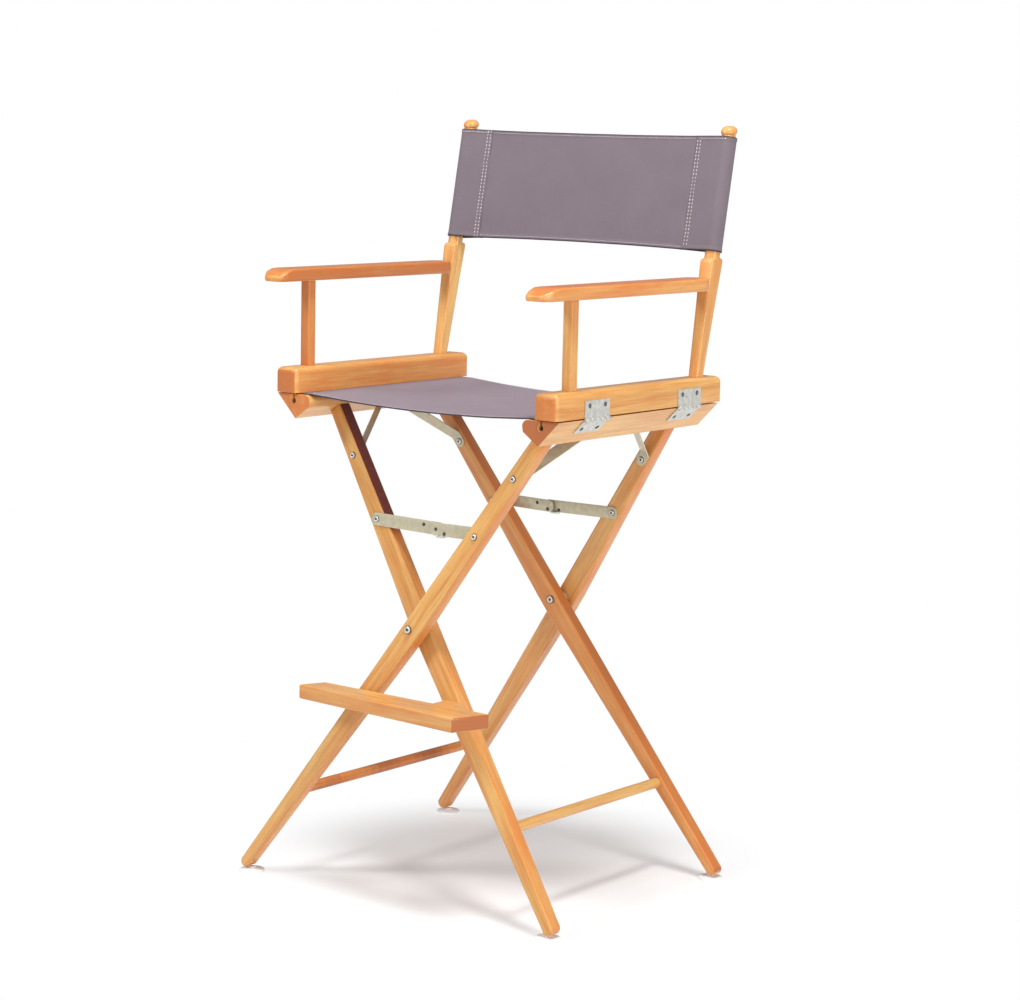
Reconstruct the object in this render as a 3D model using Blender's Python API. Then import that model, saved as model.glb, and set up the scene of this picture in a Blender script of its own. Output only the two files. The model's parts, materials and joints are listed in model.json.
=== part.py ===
"""Tall folding director chair: two crossed leg frames, arms hinged to the rails, a cloth seat and back.

Metres, +Z up, the chair faces -Y, and +X is the sitter's left. The origin is on the floor, under the
middle of the whole object. The outer frame holds the foremost and the rearmost leg, whose tops are at
+X; the inner frame holds the two legs between them, whose tops are at -X. A leg plane is y = const at
the pivot and leans: its feet stand further out along Y than its top.
"""

import math

import bmesh
import bpy
from mathutils import Matrix, Vector

# Driving dimensions.
PIVOT_Z = 0.411
LEG_ANGLE = math.radians(34.97)
LEG_THICK = 0.023
LEG_UPPER = 0.0128
LEG_LOWER = 0.0216
TAPER_TOP = math.radians(1.81)
TAPER_FOOT = math.radians(2.06)
LEAN = 0.125
OUTER_Y = 0.1882
INNER_Y = 0.1572
FOOT_Z = 0.016
GAP = 0.0003

RAIL_INNER = 0.2247
RAIL_OUTER = 0.2677
RAIL_LENGTH = 0.397
LOWER_TOP = 0.740
UPPER_FRONT = -0.2045
UPPER_BACK = 0.2085
UPPER_BOTTOM = 0.742
UPPER_TOP = 0.780
TIP_X = 0.231
TIP_Z = 0.703
NOSE_X = 0.2115
NOSE_R = 0.0095
GROOVE_X = 0.235
GROOVE_WIDTH = 0.0044
BORE_Z = 0.7300
BORE_R = 0.0044
ROD_R = 0.0028
ROD_SET_IN = 0.003

POST_X = 0.2490
FRONT_POST_Y = -0.152
FRONT_POST_WIDTH = 0.017
BACK_POST_Y = 0.163
BACK_LEAN = 0.189
SHOULDER_Z = 0.957
DOWEL_R = 0.0115
TOP_Z = 1.1535
ARM_BOTTOM = 0.9095
ARM_TOP = 0.9285
ARM_HALF = 0.0225
ARM_FRONT = -0.235

HINGE_X = 0.2706
HINGE_Z = 0.739
HINGE_YS = (-0.111, 0.119)
LEAF_LENGTH = 0.058
LEAF_THICK = 0.0015
LEAF_HEIGHT = 0.028
KNUCKLE_R = 0.0026
PIN_R = 0.0013
RECESS_CLEARANCE = 0.0004

PIVOT_BOLT_R = 0.0032
PIVOT_HEAD_R = 0.0075
DRILL_REACH = 0.09

STRETCHER_Z = 0.142
STRETCHER_R = 0.008
GLIDE_R = 0.0195
GLIDE_IN = 0.006
FOOTREST_TOP = 0.313
FOOTREST_THICK = 0.022

LOCK_Z = 0.559
LOCK_X = 0.1058
LOCK_MID_X = 0.014
LOCK_MID_Z = 0.5575
LOCK_WIDTH = 0.020
BRACE_S = 0.2897
BRACE_WIDTH = 0.018
BRACE_TURN = math.radians(52)
STRIP = 0.0018
SMALL_BOLT_R = 0.0020
SMALL_HEAD_R = 0.0050
HOLE_CLEARANCE = 0.0006
LINK_GAP = 0.0004
WASHER_GAP = 0.0006

SEAT_THICK = 0.0012
SEAT_SAG = 0.012
SEAT_HALF_LENGTH = 0.192
SHARPEST_MITRE = 0.5
SLEEVE_R = 0.0138
SLEEVE_CLEARANCE = 0.0010
PANEL_HALF_THICK = 0.0009
BACK_LOW = 0.966
BACK_HIGH = 1.1365

FOOTREST_FRONT = 0.2735
FOOT_LEAN_Y = OUTER_Y + LEAN * PIVOT_Z
CENTRE_SHIFT = (FOOTREST_FRONT - (FOOT_LEAN_Y + GLIDE_R)) / 2

FRONT = -1
REAR = 1


def clear_scene():
    for obj in list(bpy.data.objects):
        bpy.data.objects.remove(obj)


def material(name, colour, roughness, metallic=0.0):
    made = bpy.data.materials.new(name)
    made.use_nodes = True
    shader = made.node_tree.nodes["Principled BSDF"]
    shader.inputs["Base Color"].default_value = (*colour, 1.0)
    shader.inputs["Roughness"].default_value = roughness
    shader.inputs["Metallic"].default_value = metallic
    return made


def joint_empty(name, location, parent):
    """An empty on a joint's axis, in the chair's own coordinates."""
    empty = bpy.data.objects.new(name, None)
    empty.empty_display_size = 0.03
    bpy.context.scene.collection.objects.link(empty)
    empty["place"] = location
    empty.parent = parent
    above = Vector(parent["place"]) if parent else Vector((0, 0, 0))
    empty.location = Vector(location) - above
    return empty


def add_object(name, bm, surface, parent, smooth=None):
    """One solid, modelled in the chair's coordinates and held by its body's empty."""
    bmesh.ops.recalc_face_normals(bm, faces=bm.faces)
    mesh = bpy.data.meshes.new(name)
    bm.to_mesh(mesh)
    bm.free()
    mesh.materials.append(surface)
    if smooth:
        mesh.shade_smooth()
        mesh.set_sharp_from_angle(angle=math.radians(smooth))
    obj = bpy.data.objects.new(name, mesh)
    bpy.context.scene.collection.objects.link(obj)
    obj.parent = parent
    obj.matrix_parent_inverse = Matrix.Translation(-Vector(parent["place"]))
    return obj


def helper(obj):
    obj.hide_render = True
    obj.display_type = "WIRE"
    return obj


def boolean(obj, other, operation="DIFFERENCE"):
    change = obj.modifiers.new(other.name, "BOOLEAN")
    change.operation = operation
    change.object = other


def round_edges(obj, width, segments=2):
    bevel = obj.modifiers.new("rounded_edges", "BEVEL")
    bevel.width = width
    bevel.segments = segments
    bevel.limit_method = "ANGLE"
    bevel.angle_limit = math.radians(35)


def loft(rings):
    """A closed solid through rings of points, all with the same count, capped at both ends."""
    bm = bmesh.new()
    loops = [[bm.verts.new(point) for point in ring] for ring in rings]
    count = len(loops[0])
    for low, high in zip(loops, loops[1:]):
        for i in range(count):
            j = (i + 1) % count
            bm.faces.new((low[i], low[j], high[j], high[i]))
    bm.faces.new(reversed(loops[0]))
    bm.faces.new(loops[-1])
    return bm


def prism_y(outline, low, high, lean=0.0):
    """An outline in X and Z carried along Y; lean slides it along Y with its height over the pivot."""
    return loft([[(x, y + lean * (z - PIVOT_Z), z) for x, z in outline] for y in (low, high)])


def prism_z(outline, low, high):
    return loft([[(x, y, z) for x, y in outline] for z in (low, high)])


def arc(cx, cz, radius, start, end, steps):
    """Points on a circle from the start angle to the end angle, in degrees."""
    turns = [math.radians(start + (end - start) * i / steps) for i in range(steps + 1)]
    return [(cx + radius * math.cos(t), cz + radius * math.sin(t)) for t in turns]


def circle(cx, cz, radius, count=16):
    return arc(cx, cz, radius, 0, 360 * (count - 1) / count, count - 1)


def turned(profile, place, count=16):
    """A profile of (radius, distance) turned about an axis; place(u, v, d) gives the point."""
    rings = []
    for radius, distance in profile:
        turns = [2 * math.pi * i / count for i in range(count)]
        rings.append([place(radius * math.cos(t), radius * math.sin(t), distance) for t in turns])
    return loft(rings)


def along_y(x, z, lean=0.0):
    return lambda u, v, d: (x + u, d + lean * v, z + v)


def leg_point(side, s, w):
    """The X and Z of a point s up the leg from the pivot and w across it, towards its underside."""
    x = s * math.sin(LEG_ANGLE) + w * math.cos(LEG_ANGLE)
    z = s * math.cos(LEG_ANGLE) - w * math.sin(LEG_ANGLE)
    return side * x, PIVOT_Z + z


def lean_of(end):
    """The slope dy/dz of a leg plane: the front plane's top leans back, the rear one's forward."""
    return -end * LEAN


def face_y(end, y_pivot, z):
    return y_pivot + lean_of(end) * (z - PIVOT_Z)


def foot_centre():
    """(s, w, radius) of the round foot end, whose centre stands at FOOT_Z."""
    s = -(PIVOT_Z - FOOT_Z) / math.cos(LEG_ANGLE)
    for _ in range(4):
        lower = LEG_LOWER + s * math.tan(TAPER_FOOT)
        w = (lower - LEG_UPPER) / 2
        s = -(PIVOT_Z - FOOT_Z - w * math.sin(LEG_ANGLE)) / math.cos(LEG_ANGLE)
    return s, w, (lower + LEG_UPPER) / 2


def rail_face_s():
    """How far up the leg the seat rail's slanted underside lies."""
    return TIP_X * math.sin(LEG_ANGLE) + (TIP_Z - PIVOT_Z) * math.cos(LEG_ANGLE)


def leg_outline(side):
    s, w, radius = foot_centre()
    top = rail_face_s() - GAP
    lower_top = LEG_LOWER - top * math.tan(TAPER_TOP)
    points = [(top, -LEG_UPPER), (top, lower_top), (0.0, LEG_LOWER)]
    points += [(s - b, w + a) for a, b in arc(0, 0, radius, 0, 180, 8)]
    return [leg_point(side, *point) for point in points]


def drill(obj, x, z, radius, low, high, count=12):
    """A round hole along Y through an object."""
    name = f"hole_{obj.name}_{len(obj.modifiers)}"
    tool = turned([(radius, low), (radius, high)], along_y(x, z), count)
    boolean(obj, helper(add_object(name, tool, obj.data.materials[0], obj.parent)))


def bolt(name, x, z, lean, surface, parent, head_y, tail_y, radius, head_r, head, tail):
    """A domed bolt along Y: its head stands off head_y and its riveted tail off tail_y."""
    way = 1 if tail_y > head_y else -1
    profile = [
        (head_r * 0.45, head_y - way * head),
        (head_r * 0.85, head_y - way * head * 0.6),
        (head_r, head_y),
        (radius, head_y),
        (radius, tail_y),
        (head_r * 0.8, tail_y),
        (head_r * 0.6, tail_y + way * tail),
    ]
    return add_object(name, turned(profile, along_y(x, z, lean), 12), surface, parent, smooth=35)


def make_leg(name, side, end, y_pivot, surface, parent):
    """A tapered leg with a round foot, drilled for its pivot, its lock link and its corner brace."""
    half = LEG_THICK / 2
    sawn = prism_y(leg_outline(side), y_pivot - half, y_pivot + half, lean_of(end))
    leg = add_object(name, sawn, surface, parent)
    round_edges(leg, 0.0025)
    low, high = y_pivot - DRILL_REACH, y_pivot + DRILL_REACH
    small_hole = SMALL_BOLT_R + HOLE_CLEARANCE
    drill(leg, 0, PIVOT_Z, PIVOT_BOLT_R + LINK_GAP, low, high)
    drill(leg, side * LOCK_X, LOCK_Z, small_hole, low, high)
    drill(leg, *leg_point(side, BRACE_S, 0), small_hole, low, high)
    return leg


def lower_rail_outline(side):
    slot = GROOVE_WIDTH / 2
    mouth = math.degrees(math.acos(slot / BORE_R))
    seat_face = 0.034
    nose_bottom = (TIP_X - seat_face * math.cos(LEG_ANGLE), TIP_Z + seat_face * math.sin(LEG_ANGLE))
    points = [(TIP_X, TIP_Z), (RAIL_OUTER, LOWER_TOP)]
    points += [(GROOVE_X + slot, LOWER_TOP)]
    points += arc(GROOVE_X, BORE_Z, BORE_R, mouth, mouth - 360 + 2 * (90 - mouth), 10)
    points += [(GROOVE_X - slot, LOWER_TOP)]
    points += arc(NOSE_X, LOWER_TOP - NOSE_R, NOSE_R, 90, 200, 5)
    points += [nose_bottom]
    return [(side * x, z) for x, z in points]


def make_rails(side, word, surface, frame_parent, arm_parent):
    """The lower rail with its slot for the cloth's rod, and the upper rail that carries the arm."""
    half = RAIL_LENGTH / 2
    section = prism_y(lower_rail_outline(side), -half, half)
    lower = add_object(f"lower_rail_{word}", section, surface, frame_parent)
    lower.data.shade_smooth()
    lower.data.set_sharp_from_angle(angle=math.radians(30))
    low, high = sorted((side * RAIL_INNER, side * RAIL_OUTER))
    outline = [(low, UPPER_BOTTOM), (high, UPPER_BOTTOM), (high, UPPER_TOP), (low, UPPER_TOP)]
    bm = prism_y(outline, UPPER_FRONT, UPPER_BACK)
    upper_edges = [e for e in bm.edges if max(v.co.z for v in e.verts) > UPPER_BOTTOM + 0.001]
    bmesh.ops.bevel(bm, geom=upper_edges, offset=0.008, segments=3, profile=0.5, affect="EDGES")
    add_object(f"upper_rail_{word}", bm, surface, arm_parent, smooth=50)


def post_ring(cx, cy, z, half_x, half_y, power, count=20):
    """A ring between an ellipse (power 2) and a rectangle (high power)."""
    ring = []
    for i in range(count):
        turn = 2 * math.pi * (i + 0.5) / count
        c, s = math.cos(turn), math.sin(turn)
        reach = (abs(c) ** power + abs(s) ** power) ** (-1 / power)
        ring.append((cx + half_x * c * reach, cy + half_y * s * reach, z))
    return ring


def back_post_y(z):
    return BACK_POST_Y + BACK_LEAN * (z - UPPER_TOP)


def make_back_post(side, word, surface, parent):
    """Square foot, wider square shoulder, round dowel for the cloth sleeve and a ball on top."""
    ball_r = 0.0132
    ball_high = 0.0085
    ball_z = TOP_Z - ball_high
    levels = [
        (UPPER_TOP + GAP, 0.0085, 0.0085, 7),
        (UPPER_TOP + 0.060, 0.0095, 0.0110, 7),
        (SHOULDER_Z - 0.012, 0.0120, 0.0150, 7),
        (SHOULDER_Z - 0.005, 0.0118, 0.0140, 5),
        (SHOULDER_Z, DOWEL_R, DOWEL_R, 2),
        (BACK_HIGH + 0.003, DOWEL_R - 0.001, DOWEL_R - 0.001, 2),
    ]
    for degrees in (-35, -12, 15, 40, 60, 78):
        turn = math.radians(degrees)
        ring_r = ball_r * math.cos(turn)
        levels.append((ball_z + ball_high * math.sin(turn), ring_r, ring_r, 2))
    rings = [post_ring(side * POST_X, back_post_y(z), z, hx, hy, power) for z, hx, hy, power in levels]
    rings.append(post_ring(side * POST_X, back_post_y(TOP_Z), TOP_Z, 0.001, 0.001, 2))
    add_object(f"back_post_{word}", loft(rings), surface, parent, smooth=40)


def make_arm(side, word, surface, parent):
    """The two posts of one arm and the armrest on them, its corners clipped and its nose sloped."""
    half = FRONT_POST_WIDTH / 2
    centre = side * POST_X
    corners = ((-1, -1), (1, -1), (1, 1), (-1, 1))
    square = [(centre + a * half, FRONT_POST_Y + b * half) for a, b in corners]
    stick = prism_z(square, UPPER_TOP + GAP, ARM_BOTTOM - GAP)
    post = add_object(f"front_post_{word}", stick, surface, parent)
    round_edges(post, 0.0025)
    make_back_post(side, word, surface, parent)
    post_clearance = 0.0158
    end_y = back_post_y(ARM_BOTTOM) - post_clearance
    chamfer = 0.011
    nose_slope = 0.024
    plan = [
        (-ARM_HALF + 0.006, ARM_FRONT),
        (ARM_HALF - 0.006, ARM_FRONT),
        (ARM_HALF, ARM_FRONT + 0.008),
        (ARM_HALF, end_y - 0.014),
        (ARM_HALF - chamfer, end_y),
        (-ARM_HALF + chamfer, end_y),
        (-ARM_HALF, end_y - 0.014),
        (-ARM_HALF, ARM_FRONT + 0.008),
    ]
    bm = prism_z([(centre + x, y) for x, y in plan], ARM_BOTTOM, ARM_TOP)
    for vert in bm.verts:
        if vert.co.z > ARM_BOTTOM + 0.001 and vert.co.y < ARM_FRONT + 0.02:
            vert.co.y += nose_slope
            vert.co.x = centre + (vert.co.x - centre) * 0.98
    top = [e for e in bm.edges if min(v.co.z for v in e.verts) > ARM_BOTTOM + 0.001]
    bmesh.ops.bevel(bm, geom=top, offset=0.005, segments=2, profile=0.5, affect="EDGES")
    add_object(f"armrest_{word}", bm, surface, parent, smooth=40)


def slanted_direction():
    """Unit vector down the seat rail's outer slanted face, in X and Z."""
    dx, dz = TIP_X - RAIL_OUTER, TIP_Z - LOWER_TOP
    length = math.hypot(dx, dz)
    return dx / length, dz / length


def leaf_body(name, plate, knuckles, surface, parent, shift):
    """A hinge leaf: a plate and the knuckles rolled from it, joined in one solid."""
    half = LEAF_LENGTH / 2
    leaf = add_object(name, prism_y(plate, shift - half, shift + half), surface, parent)
    step = LEAF_LENGTH / 5
    side = 1 if plate[0][0] > 0 else -1
    place = along_y(side * HINGE_X, HINGE_Z)
    for number in knuckles:
        low = shift - half + number * step + GAP
        high = low + step - 2 * GAP
        tube = turned([(KNUCKLE_R, low), (KNUCKLE_R, high)], place, 12)
        knuckle = add_object(f"{name}_knuckle_{number}", tube, surface, parent)
        boolean(leaf, helper(knuckle), "UNION")
    for number in range(5):
        if number in knuckles:
            continue
        low = shift - half + number * step - GAP / 2
        high = low + step + GAP
        recess_r = KNUCKLE_R + RECESS_CLEARANCE
        recess = turned([(recess_r, low), (recess_r, high)], place, 12)
        gap = add_object(f"{name}_recess_{number}", recess, surface, parent)
        boolean(leaf, helper(gap))
    bore = turned([(PIN_R + GAP, shift - 0.05), (PIN_R + GAP, shift + 0.05)], place, 12)
    boolean(leaf, helper(add_object(f"{name}_bore", bore, surface, parent)))


def make_hinge(side, word, place_word, y, surface, frame_parent, arm_parent):
    """A butt hinge: one leaf on the upper rail's flat side, one on the lower rail's slanted side."""
    inner = RAIL_OUTER + GAP
    leaf_low, leaf_high = HINGE_Z + 0.0002, HINGE_Z + LEAF_HEIGHT
    upper = [
        (inner, leaf_low),
        (inner + LEAF_THICK, leaf_low),
        (inner + LEAF_THICK, leaf_high),
        (inner, leaf_high),
    ]
    dx, dz = slanted_direction()
    nx, nz = -dz, dx
    above, below = 0.0009, LEAF_HEIGHT
    start = (RAIL_OUTER + nx * GAP - dx * above, LOWER_TOP + nz * GAP - dz * above)
    end = (RAIL_OUTER + nx * GAP + dx * below, LOWER_TOP + nz * GAP + dz * below)
    lower = [
        start,
        (start[0] + nx * LEAF_THICK, start[1] + nz * LEAF_THICK),
        (end[0] + nx * LEAF_THICK, end[1] + nz * LEAF_THICK),
        end,
    ]
    flip = [[(side * x, z) for x, z in outline] for outline in (upper, lower)]
    leaf_body(f"hinge_upper_{word}_{place_word}", flip[0], (0, 2, 4), surface, arm_parent, y)
    leaf_body(f"hinge_lower_{word}_{place_word}", flip[1], (1, 3), surface, frame_parent, y)
    half = LEAF_LENGTH / 2 + 0.0012
    pin = turned([(PIN_R, y - half), (PIN_R, y + half)], along_y(side * HINGE_X, HINGE_Z), 12)
    add_object(f"hinge_pin_{word}_{place_word}", pin, surface, arm_parent, smooth=40)


def make_stretcher(name, side, y_pivot, surface, parent):
    """A round rail between the two legs of one frame, its ends cut to the legs' lean."""
    x = side * -(PIVOT_Z - STRETCHER_Z) * math.tan(LEG_ANGLE)
    inset = y_pivot - LEG_THICK / 2 - GAP
    rings = []
    for end in (FRONT, REAR):
        ring = circle(x, STRETCHER_Z, STRETCHER_R)
        rings.append([(a, face_y(end, end * inset, b), b) for a, b in ring])
    add_object(name, loft(rings), surface, parent, smooth=40)


def make_glide(name, x, y, surface, parent):
    profile = [(0.0185, 0.0), (GLIDE_R, 0.0012), (0.0185, 0.0034), (0.0100, 0.0048), (0.0048, 0.0052)]
    profile += [(0.0046, FOOT_Z - foot_centre()[2] - GAP)]
    add_object(name, turned(profile, lambda u, v, d: (x + u, y + v, d), 20), surface, parent, smooth=40)


def capsule(x0, z0, x1, z1, radius, steps=6):
    turn = math.degrees(math.atan2(z1 - z0, x1 - x0))
    near_end = arc(x0, z0, radius, turn + 90, turn + 270, steps)
    return near_end + arc(x1, z1, radius, turn - 90, turn + 90, steps)


def make_lock(name, side, end, near, far, surface, parent):
    """One link of a lock brace, flat against the near face of its own leg, with its bolt hole."""
    x0, z0 = side * LOCK_X, LOCK_Z
    x1, z1 = -end * LOCK_MID_X, LOCK_MID_Z
    low, high = sorted((near, far))
    outline = capsule(x0, z0, x1, z1, LOCK_WIDTH / 2)
    link = add_object(name, prism_y(outline, low, high, lean_of(end)), surface, parent)
    drill(link, x0, z0, SMALL_BOLT_R + HOLE_CLEARANCE, near - DRILL_REACH, near + DRILL_REACH)


def make_brace(name, side, end, y_pivot, surface, parent):
    """A bent strip: a round-ended lug on the leg's inner face, a slanting body, a lug under the rail."""
    inward = -end
    face = y_pivot + inward * (LEG_THICK / 2 + GAP)
    bend_s = BRACE_S + 0.012
    top_s = rail_face_s() - GAP
    bend_back = 0.0008
    rail_lug = 0.024

    def on_face(s):
        return face_y(end, face, PIVOT_Z + s * math.cos(LEG_ANGLE))

    thick = STRIP
    slope = math.tan(BRACE_TURN)
    shift = thick / math.sin(BRACE_TURN)
    back_top_y = on_face(bend_s) + inward * (top_s - bend_s) * slope
    upper_outline = [
        (bend_s - bend_back, on_face(bend_s - bend_back) + inward * thick),
        (top_s - thick, back_top_y + inward * (shift * 1.2 - thick * slope)),
        (top_s - thick, back_top_y + inward * rail_lug),
        (top_s, back_top_y + inward * rail_lug),
        (top_s, back_top_y),
        (bend_s, on_face(bend_s)),
    ]
    rings = []
    for share in (-1, -0.92, -0.7, -0.38, 0, 0.38, 0.7, 0.92, 1):
        w = share * BRACE_WIDTH / 2
        low_s = BRACE_S - 0.010 * math.sqrt(1 - share * share)
        round_end = [(low_s, on_face(low_s)), (low_s, on_face(low_s) + inward * thick)]
        ring = []
        for s, y in round_end + upper_outline:
            x, z = leg_point(side, s, w)
            ring.append((x, y - lean_of(end) * w * math.sin(LEG_ANGLE), z))
        rings.append(ring)
    brace = add_object(name, loft(rings), surface, parent)
    x, z = leg_point(side, BRACE_S, 0)
    drill(brace, x, z, SMALL_BOLT_R + HOLE_CLEARANCE, y_pivot - DRILL_REACH, y_pivot + DRILL_REACH)


def make_footrest(surface, parent):
    """The board, deeper towards the chair's left, and the block that fills in behind it."""
    underside = FOOTREST_TOP - FOOTREST_THICK
    rear = face_y(FRONT, -OUTER_Y - LEG_THICK / 2, underside) - GAP
    plan = [(-0.166, -0.2555), (0.146, -FOOTREST_FRONT), (0.168, rear), (-0.148, rear)]
    board = add_object("footrest_board", prism_z(plan, underside, FOOTREST_TOP), surface, parent)
    round_edges(board, 0.002)
    inner_face = -INNER_Y - LEG_THICK / 2
    low, high = underside + 0.001, FOOTREST_TOP - 0.002
    x0, x1 = 0.058, 0.094
    rings = []
    for z in (low, high):
        back = face_y(FRONT, inner_face, z) - GAP
        rings.append([(x0, rear + GAP, z), (x1, rear + GAP, z), (x1, back, z), (x0, back, z)])
    add_object("footrest_spacer", loft(rings), surface, parent)


def make_seat(surface, parent):
    """Cloth from one rod groove over both rail noses to the other, with a slight sag."""
    over = (LOWER_TOP + UPPER_BOTTOM) / 2
    half_thick = SEAT_THICK / 2
    reach = 0.205
    above_rod = 0.0010
    path = [(GROOVE_X, BORE_Z + ROD_R + above_rod), (GROOVE_X, over), (reach, over)]
    steps = 10
    for i in range(1, steps):
        x = reach * (1 - 2 * i / steps)
        path.append((x, over - SEAT_SAG * (1 - (x / reach) ** 2)))
    path += [(-x, z) for x, z in path[2::-1]]
    top, bottom = [], []
    for i, (x, z) in enumerate(path):
        before, after = path[max(i - 1, 0)], path[min(i + 1, len(path) - 1)]
        one = Vector((x - before[0], z - before[1]))
        two = Vector((after[0] - x, after[1] - z))
        one = (one if one.length else two).normalized()
        two = (two if two.length else one).normalized()
        normal = Vector((one.y + two.y, -one.x - two.x)).normalized()
        stretch = half_thick / max(normal.dot(Vector((one.y, -one.x))), SHARPEST_MITRE)
        top.append((x + normal.x * stretch, z + normal.y * stretch))
        bottom.append((x - normal.x * stretch, z - normal.y * stretch))
    cloth = prism_y(top + bottom[::-1], -SEAT_HALF_LENGTH, SEAT_HALF_LENGTH)
    add_object("seat_cloth", cloth, surface, parent, smooth=30)


def make_back(surface, parent):
    """The back cloth: a flat panel in the plane of the posts with a round sleeve at each end."""
    turn = math.atan(BACK_LEAN)
    middle_z = (BACK_LOW + BACK_HIGH) / 2
    frame = Matrix.Translation((0, back_post_y(middle_z), middle_z)) @ Matrix.Rotation(-turn, 4, "X")
    half = (BACK_HIGH - BACK_LOW) / 2 / math.cos(turn)

    def upright(low, high, outline):
        bm = prism_z(outline, low, high)
        bmesh.ops.transform(bm, matrix=frame, verts=bm.verts)
        return bm

    meet = math.degrees(math.asin(PANEL_HALF_THICK / SLEEVE_R))
    outline = arc(POST_X, 0, SLEEVE_R, meet - 180, 180 - meet, 20)
    outline += arc(-POST_X, 0, SLEEVE_R, meet, 360 - meet, 20)
    back = add_object("back_cloth", upright(-half, half, outline), surface, parent, smooth=30)
    past = half + 0.01
    for side in (-1, 1):
        bore = upright(-past, past, circle(side * POST_X, 0, DOWEL_R + SLEEVE_CLEARANCE, 20))
        boolean(back, helper(add_object(f"sleeve_bore_{side}", bore, surface, parent)))


def make_pivot(end, word, surface, parent):
    """The through bolt of one leg crossing and the spacer on it between the two legs."""
    half = LEG_THICK / 2
    swing = 0.0008
    outer = OUTER_Y + half + swing
    inner = INNER_Y - half - swing
    first, last = (-outer, -inner) if end == FRONT else (inner, outer)
    place = (0, PIVOT_Z, lean_of(end), surface, parent)
    bolt(f"pivot_bolt_{word}", *place, first, last, PIVOT_BOLT_R, PIVOT_HEAD_R, 0.0026, 0.004)
    low, high = INNER_Y + half + swing, OUTER_Y - half - swing
    if end == FRONT:
        low, high = -high, -low
    washer = prism_y(circle(0, PIVOT_Z, 0.009, 20), low, high, lean_of(end))
    spacer = add_object(f"pivot_spacer_{word}", washer, surface, parent, smooth=40)
    drill(spacer, 0, PIVOT_Z, PIVOT_BOLT_R + LINK_GAP, low - DRILL_REACH, high + DRILL_REACH)


def main():
    clear_scene()
    wood = material("beech", (0.80, 0.47, 0.19), 0.42)
    dark_wood = material("beech_edge_grain", (0.70, 0.36, 0.13), 0.45)
    cloth = material("canvas", (0.26, 0.21, 0.235), 0.9)
    zinc = material("zinc_steel", (0.62, 0.60, 0.50), 0.38, 0.9)
    hinge_steel = material("hinge_steel", (0.70, 0.71, 0.70), 0.35, 0.9)
    plastic = material("glide_plastic", (0.78, 0.78, 0.76), 0.45)

    chair = joint_empty("director_chair", (0, 0, 0), None)
    chair.location = (0, CENTRE_SHIFT, 0)
    pivots = joint_empty("pivots", (0, 0, PIVOT_Z), chair)
    outer = joint_empty("outer_frame", (0, 0, PIVOT_Z), chair)
    inner = joint_empty("inner_frame", (0, 0, PIVOT_Z), chair)
    right_arm = joint_empty("right_arm", (HINGE_X, 0, HINGE_Z), outer)
    left_arm = joint_empty("left_arm", (-HINGE_X, 0, HINGE_Z), inner)
    seat = joint_empty("seat_sling", (0, 0, LOWER_TOP), pivots)
    back = joint_empty("back_sling", (0, 0, BACK_LOW), pivots)

    half = LEG_THICK / 2
    legs = (
        ("outer_front", 1, FRONT, -OUTER_Y, outer),
        ("inner_front", -1, FRONT, -INNER_Y, inner),
        ("inner_rear", -1, REAR, INNER_Y, inner),
        ("outer_rear", 1, REAR, OUTER_Y, outer),
    )
    foot_s, foot_w, _ = foot_centre()
    for word, side, end, y_pivot, frame in legs:
        make_leg(f"leg_{word}", side, end, y_pivot, wood, frame)
        x, z = leg_point(side, foot_s, foot_w)
        foot_y = face_y(end, y_pivot, z)
        foot = joint_empty(f"glide_{word}_swivel", (x, foot_y, z), frame)
        make_glide(f"glide_{word}", x - math.copysign(GLIDE_IN, x), foot_y, plastic, foot)

        gap_way = (1 if "outer" in word else -1) * -end
        leg_face = y_pivot + gap_way * half
        near, far = leg_face + gap_way * LINK_GAP, leg_face + gap_way * (LINK_GAP + STRIP)
        lock = joint_empty(f"lock_{word}", (side * LOCK_X, face_y(end, near, LOCK_Z), LOCK_Z), frame)
        make_lock(f"lock_link_{word}", side, end, near, far, zinc, lock)
        link_face = face_y(end, far + gap_way * WASHER_GAP, LOCK_Z)
        far_side = face_y(end, y_pivot - gap_way * (half + WASHER_GAP), LOCK_Z)
        place = (side * LOCK_X, LOCK_Z, lean_of(end), zinc, frame)
        sizes = (SMALL_BOLT_R, SMALL_HEAD_R, 0.002, 0.0012)
        bolt(f"lock_bolt_{word}", *place, far_side, link_face, *sizes)

        make_brace(f"corner_brace_{word}", side, end, y_pivot, zinc, frame)
        x, z = leg_point(side, BRACE_S, 0)
        lug_face = face_y(end, y_pivot - end * (half + GAP + STRIP + WASHER_GAP), z)
        head_face = face_y(end, y_pivot + end * (half + WASHER_GAP), z)
        place = (x, z, lean_of(end), zinc, frame)
        bolt(f"brace_bolt_{word}", *place, head_face, lug_face, *sizes)

    make_stretcher("stretcher_outer", 1, OUTER_Y, wood, outer)
    make_stretcher("stretcher_inner", -1, INNER_Y, wood, inner)
    make_footrest(wood, outer)
    for end, word in ((FRONT, "front"), (REAR, "rear")):
        make_pivot(end, word, zinc, pivots)

    arms = ((1, "right", outer, right_arm), (-1, "left", inner, left_arm))
    for side, word, frame, arm in arms:
        make_rails(side, word, wood, frame, arm)
        make_arm(side, word, wood, arm)
        for y, place_word in zip(HINGE_YS, ("front", "rear")):
            make_hinge(side, word, place_word, y, hinge_steel, frame, arm)
        rod_half = RAIL_LENGTH / 2 - ROD_SET_IN
        rod = turned([(ROD_R, -rod_half), (ROD_R, rod_half)], along_y(side * GROOVE_X, BORE_Z), 10)
        add_object(f"seat_rod_{word}", rod, dark_wood, frame, smooth=50)

    make_seat(cloth, seat)
    make_back(cloth, back)


main()
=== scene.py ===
"""A tall folding director chair: lacquered beech frame, canvas seat and back, plated steel fittings."""

import math

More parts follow.
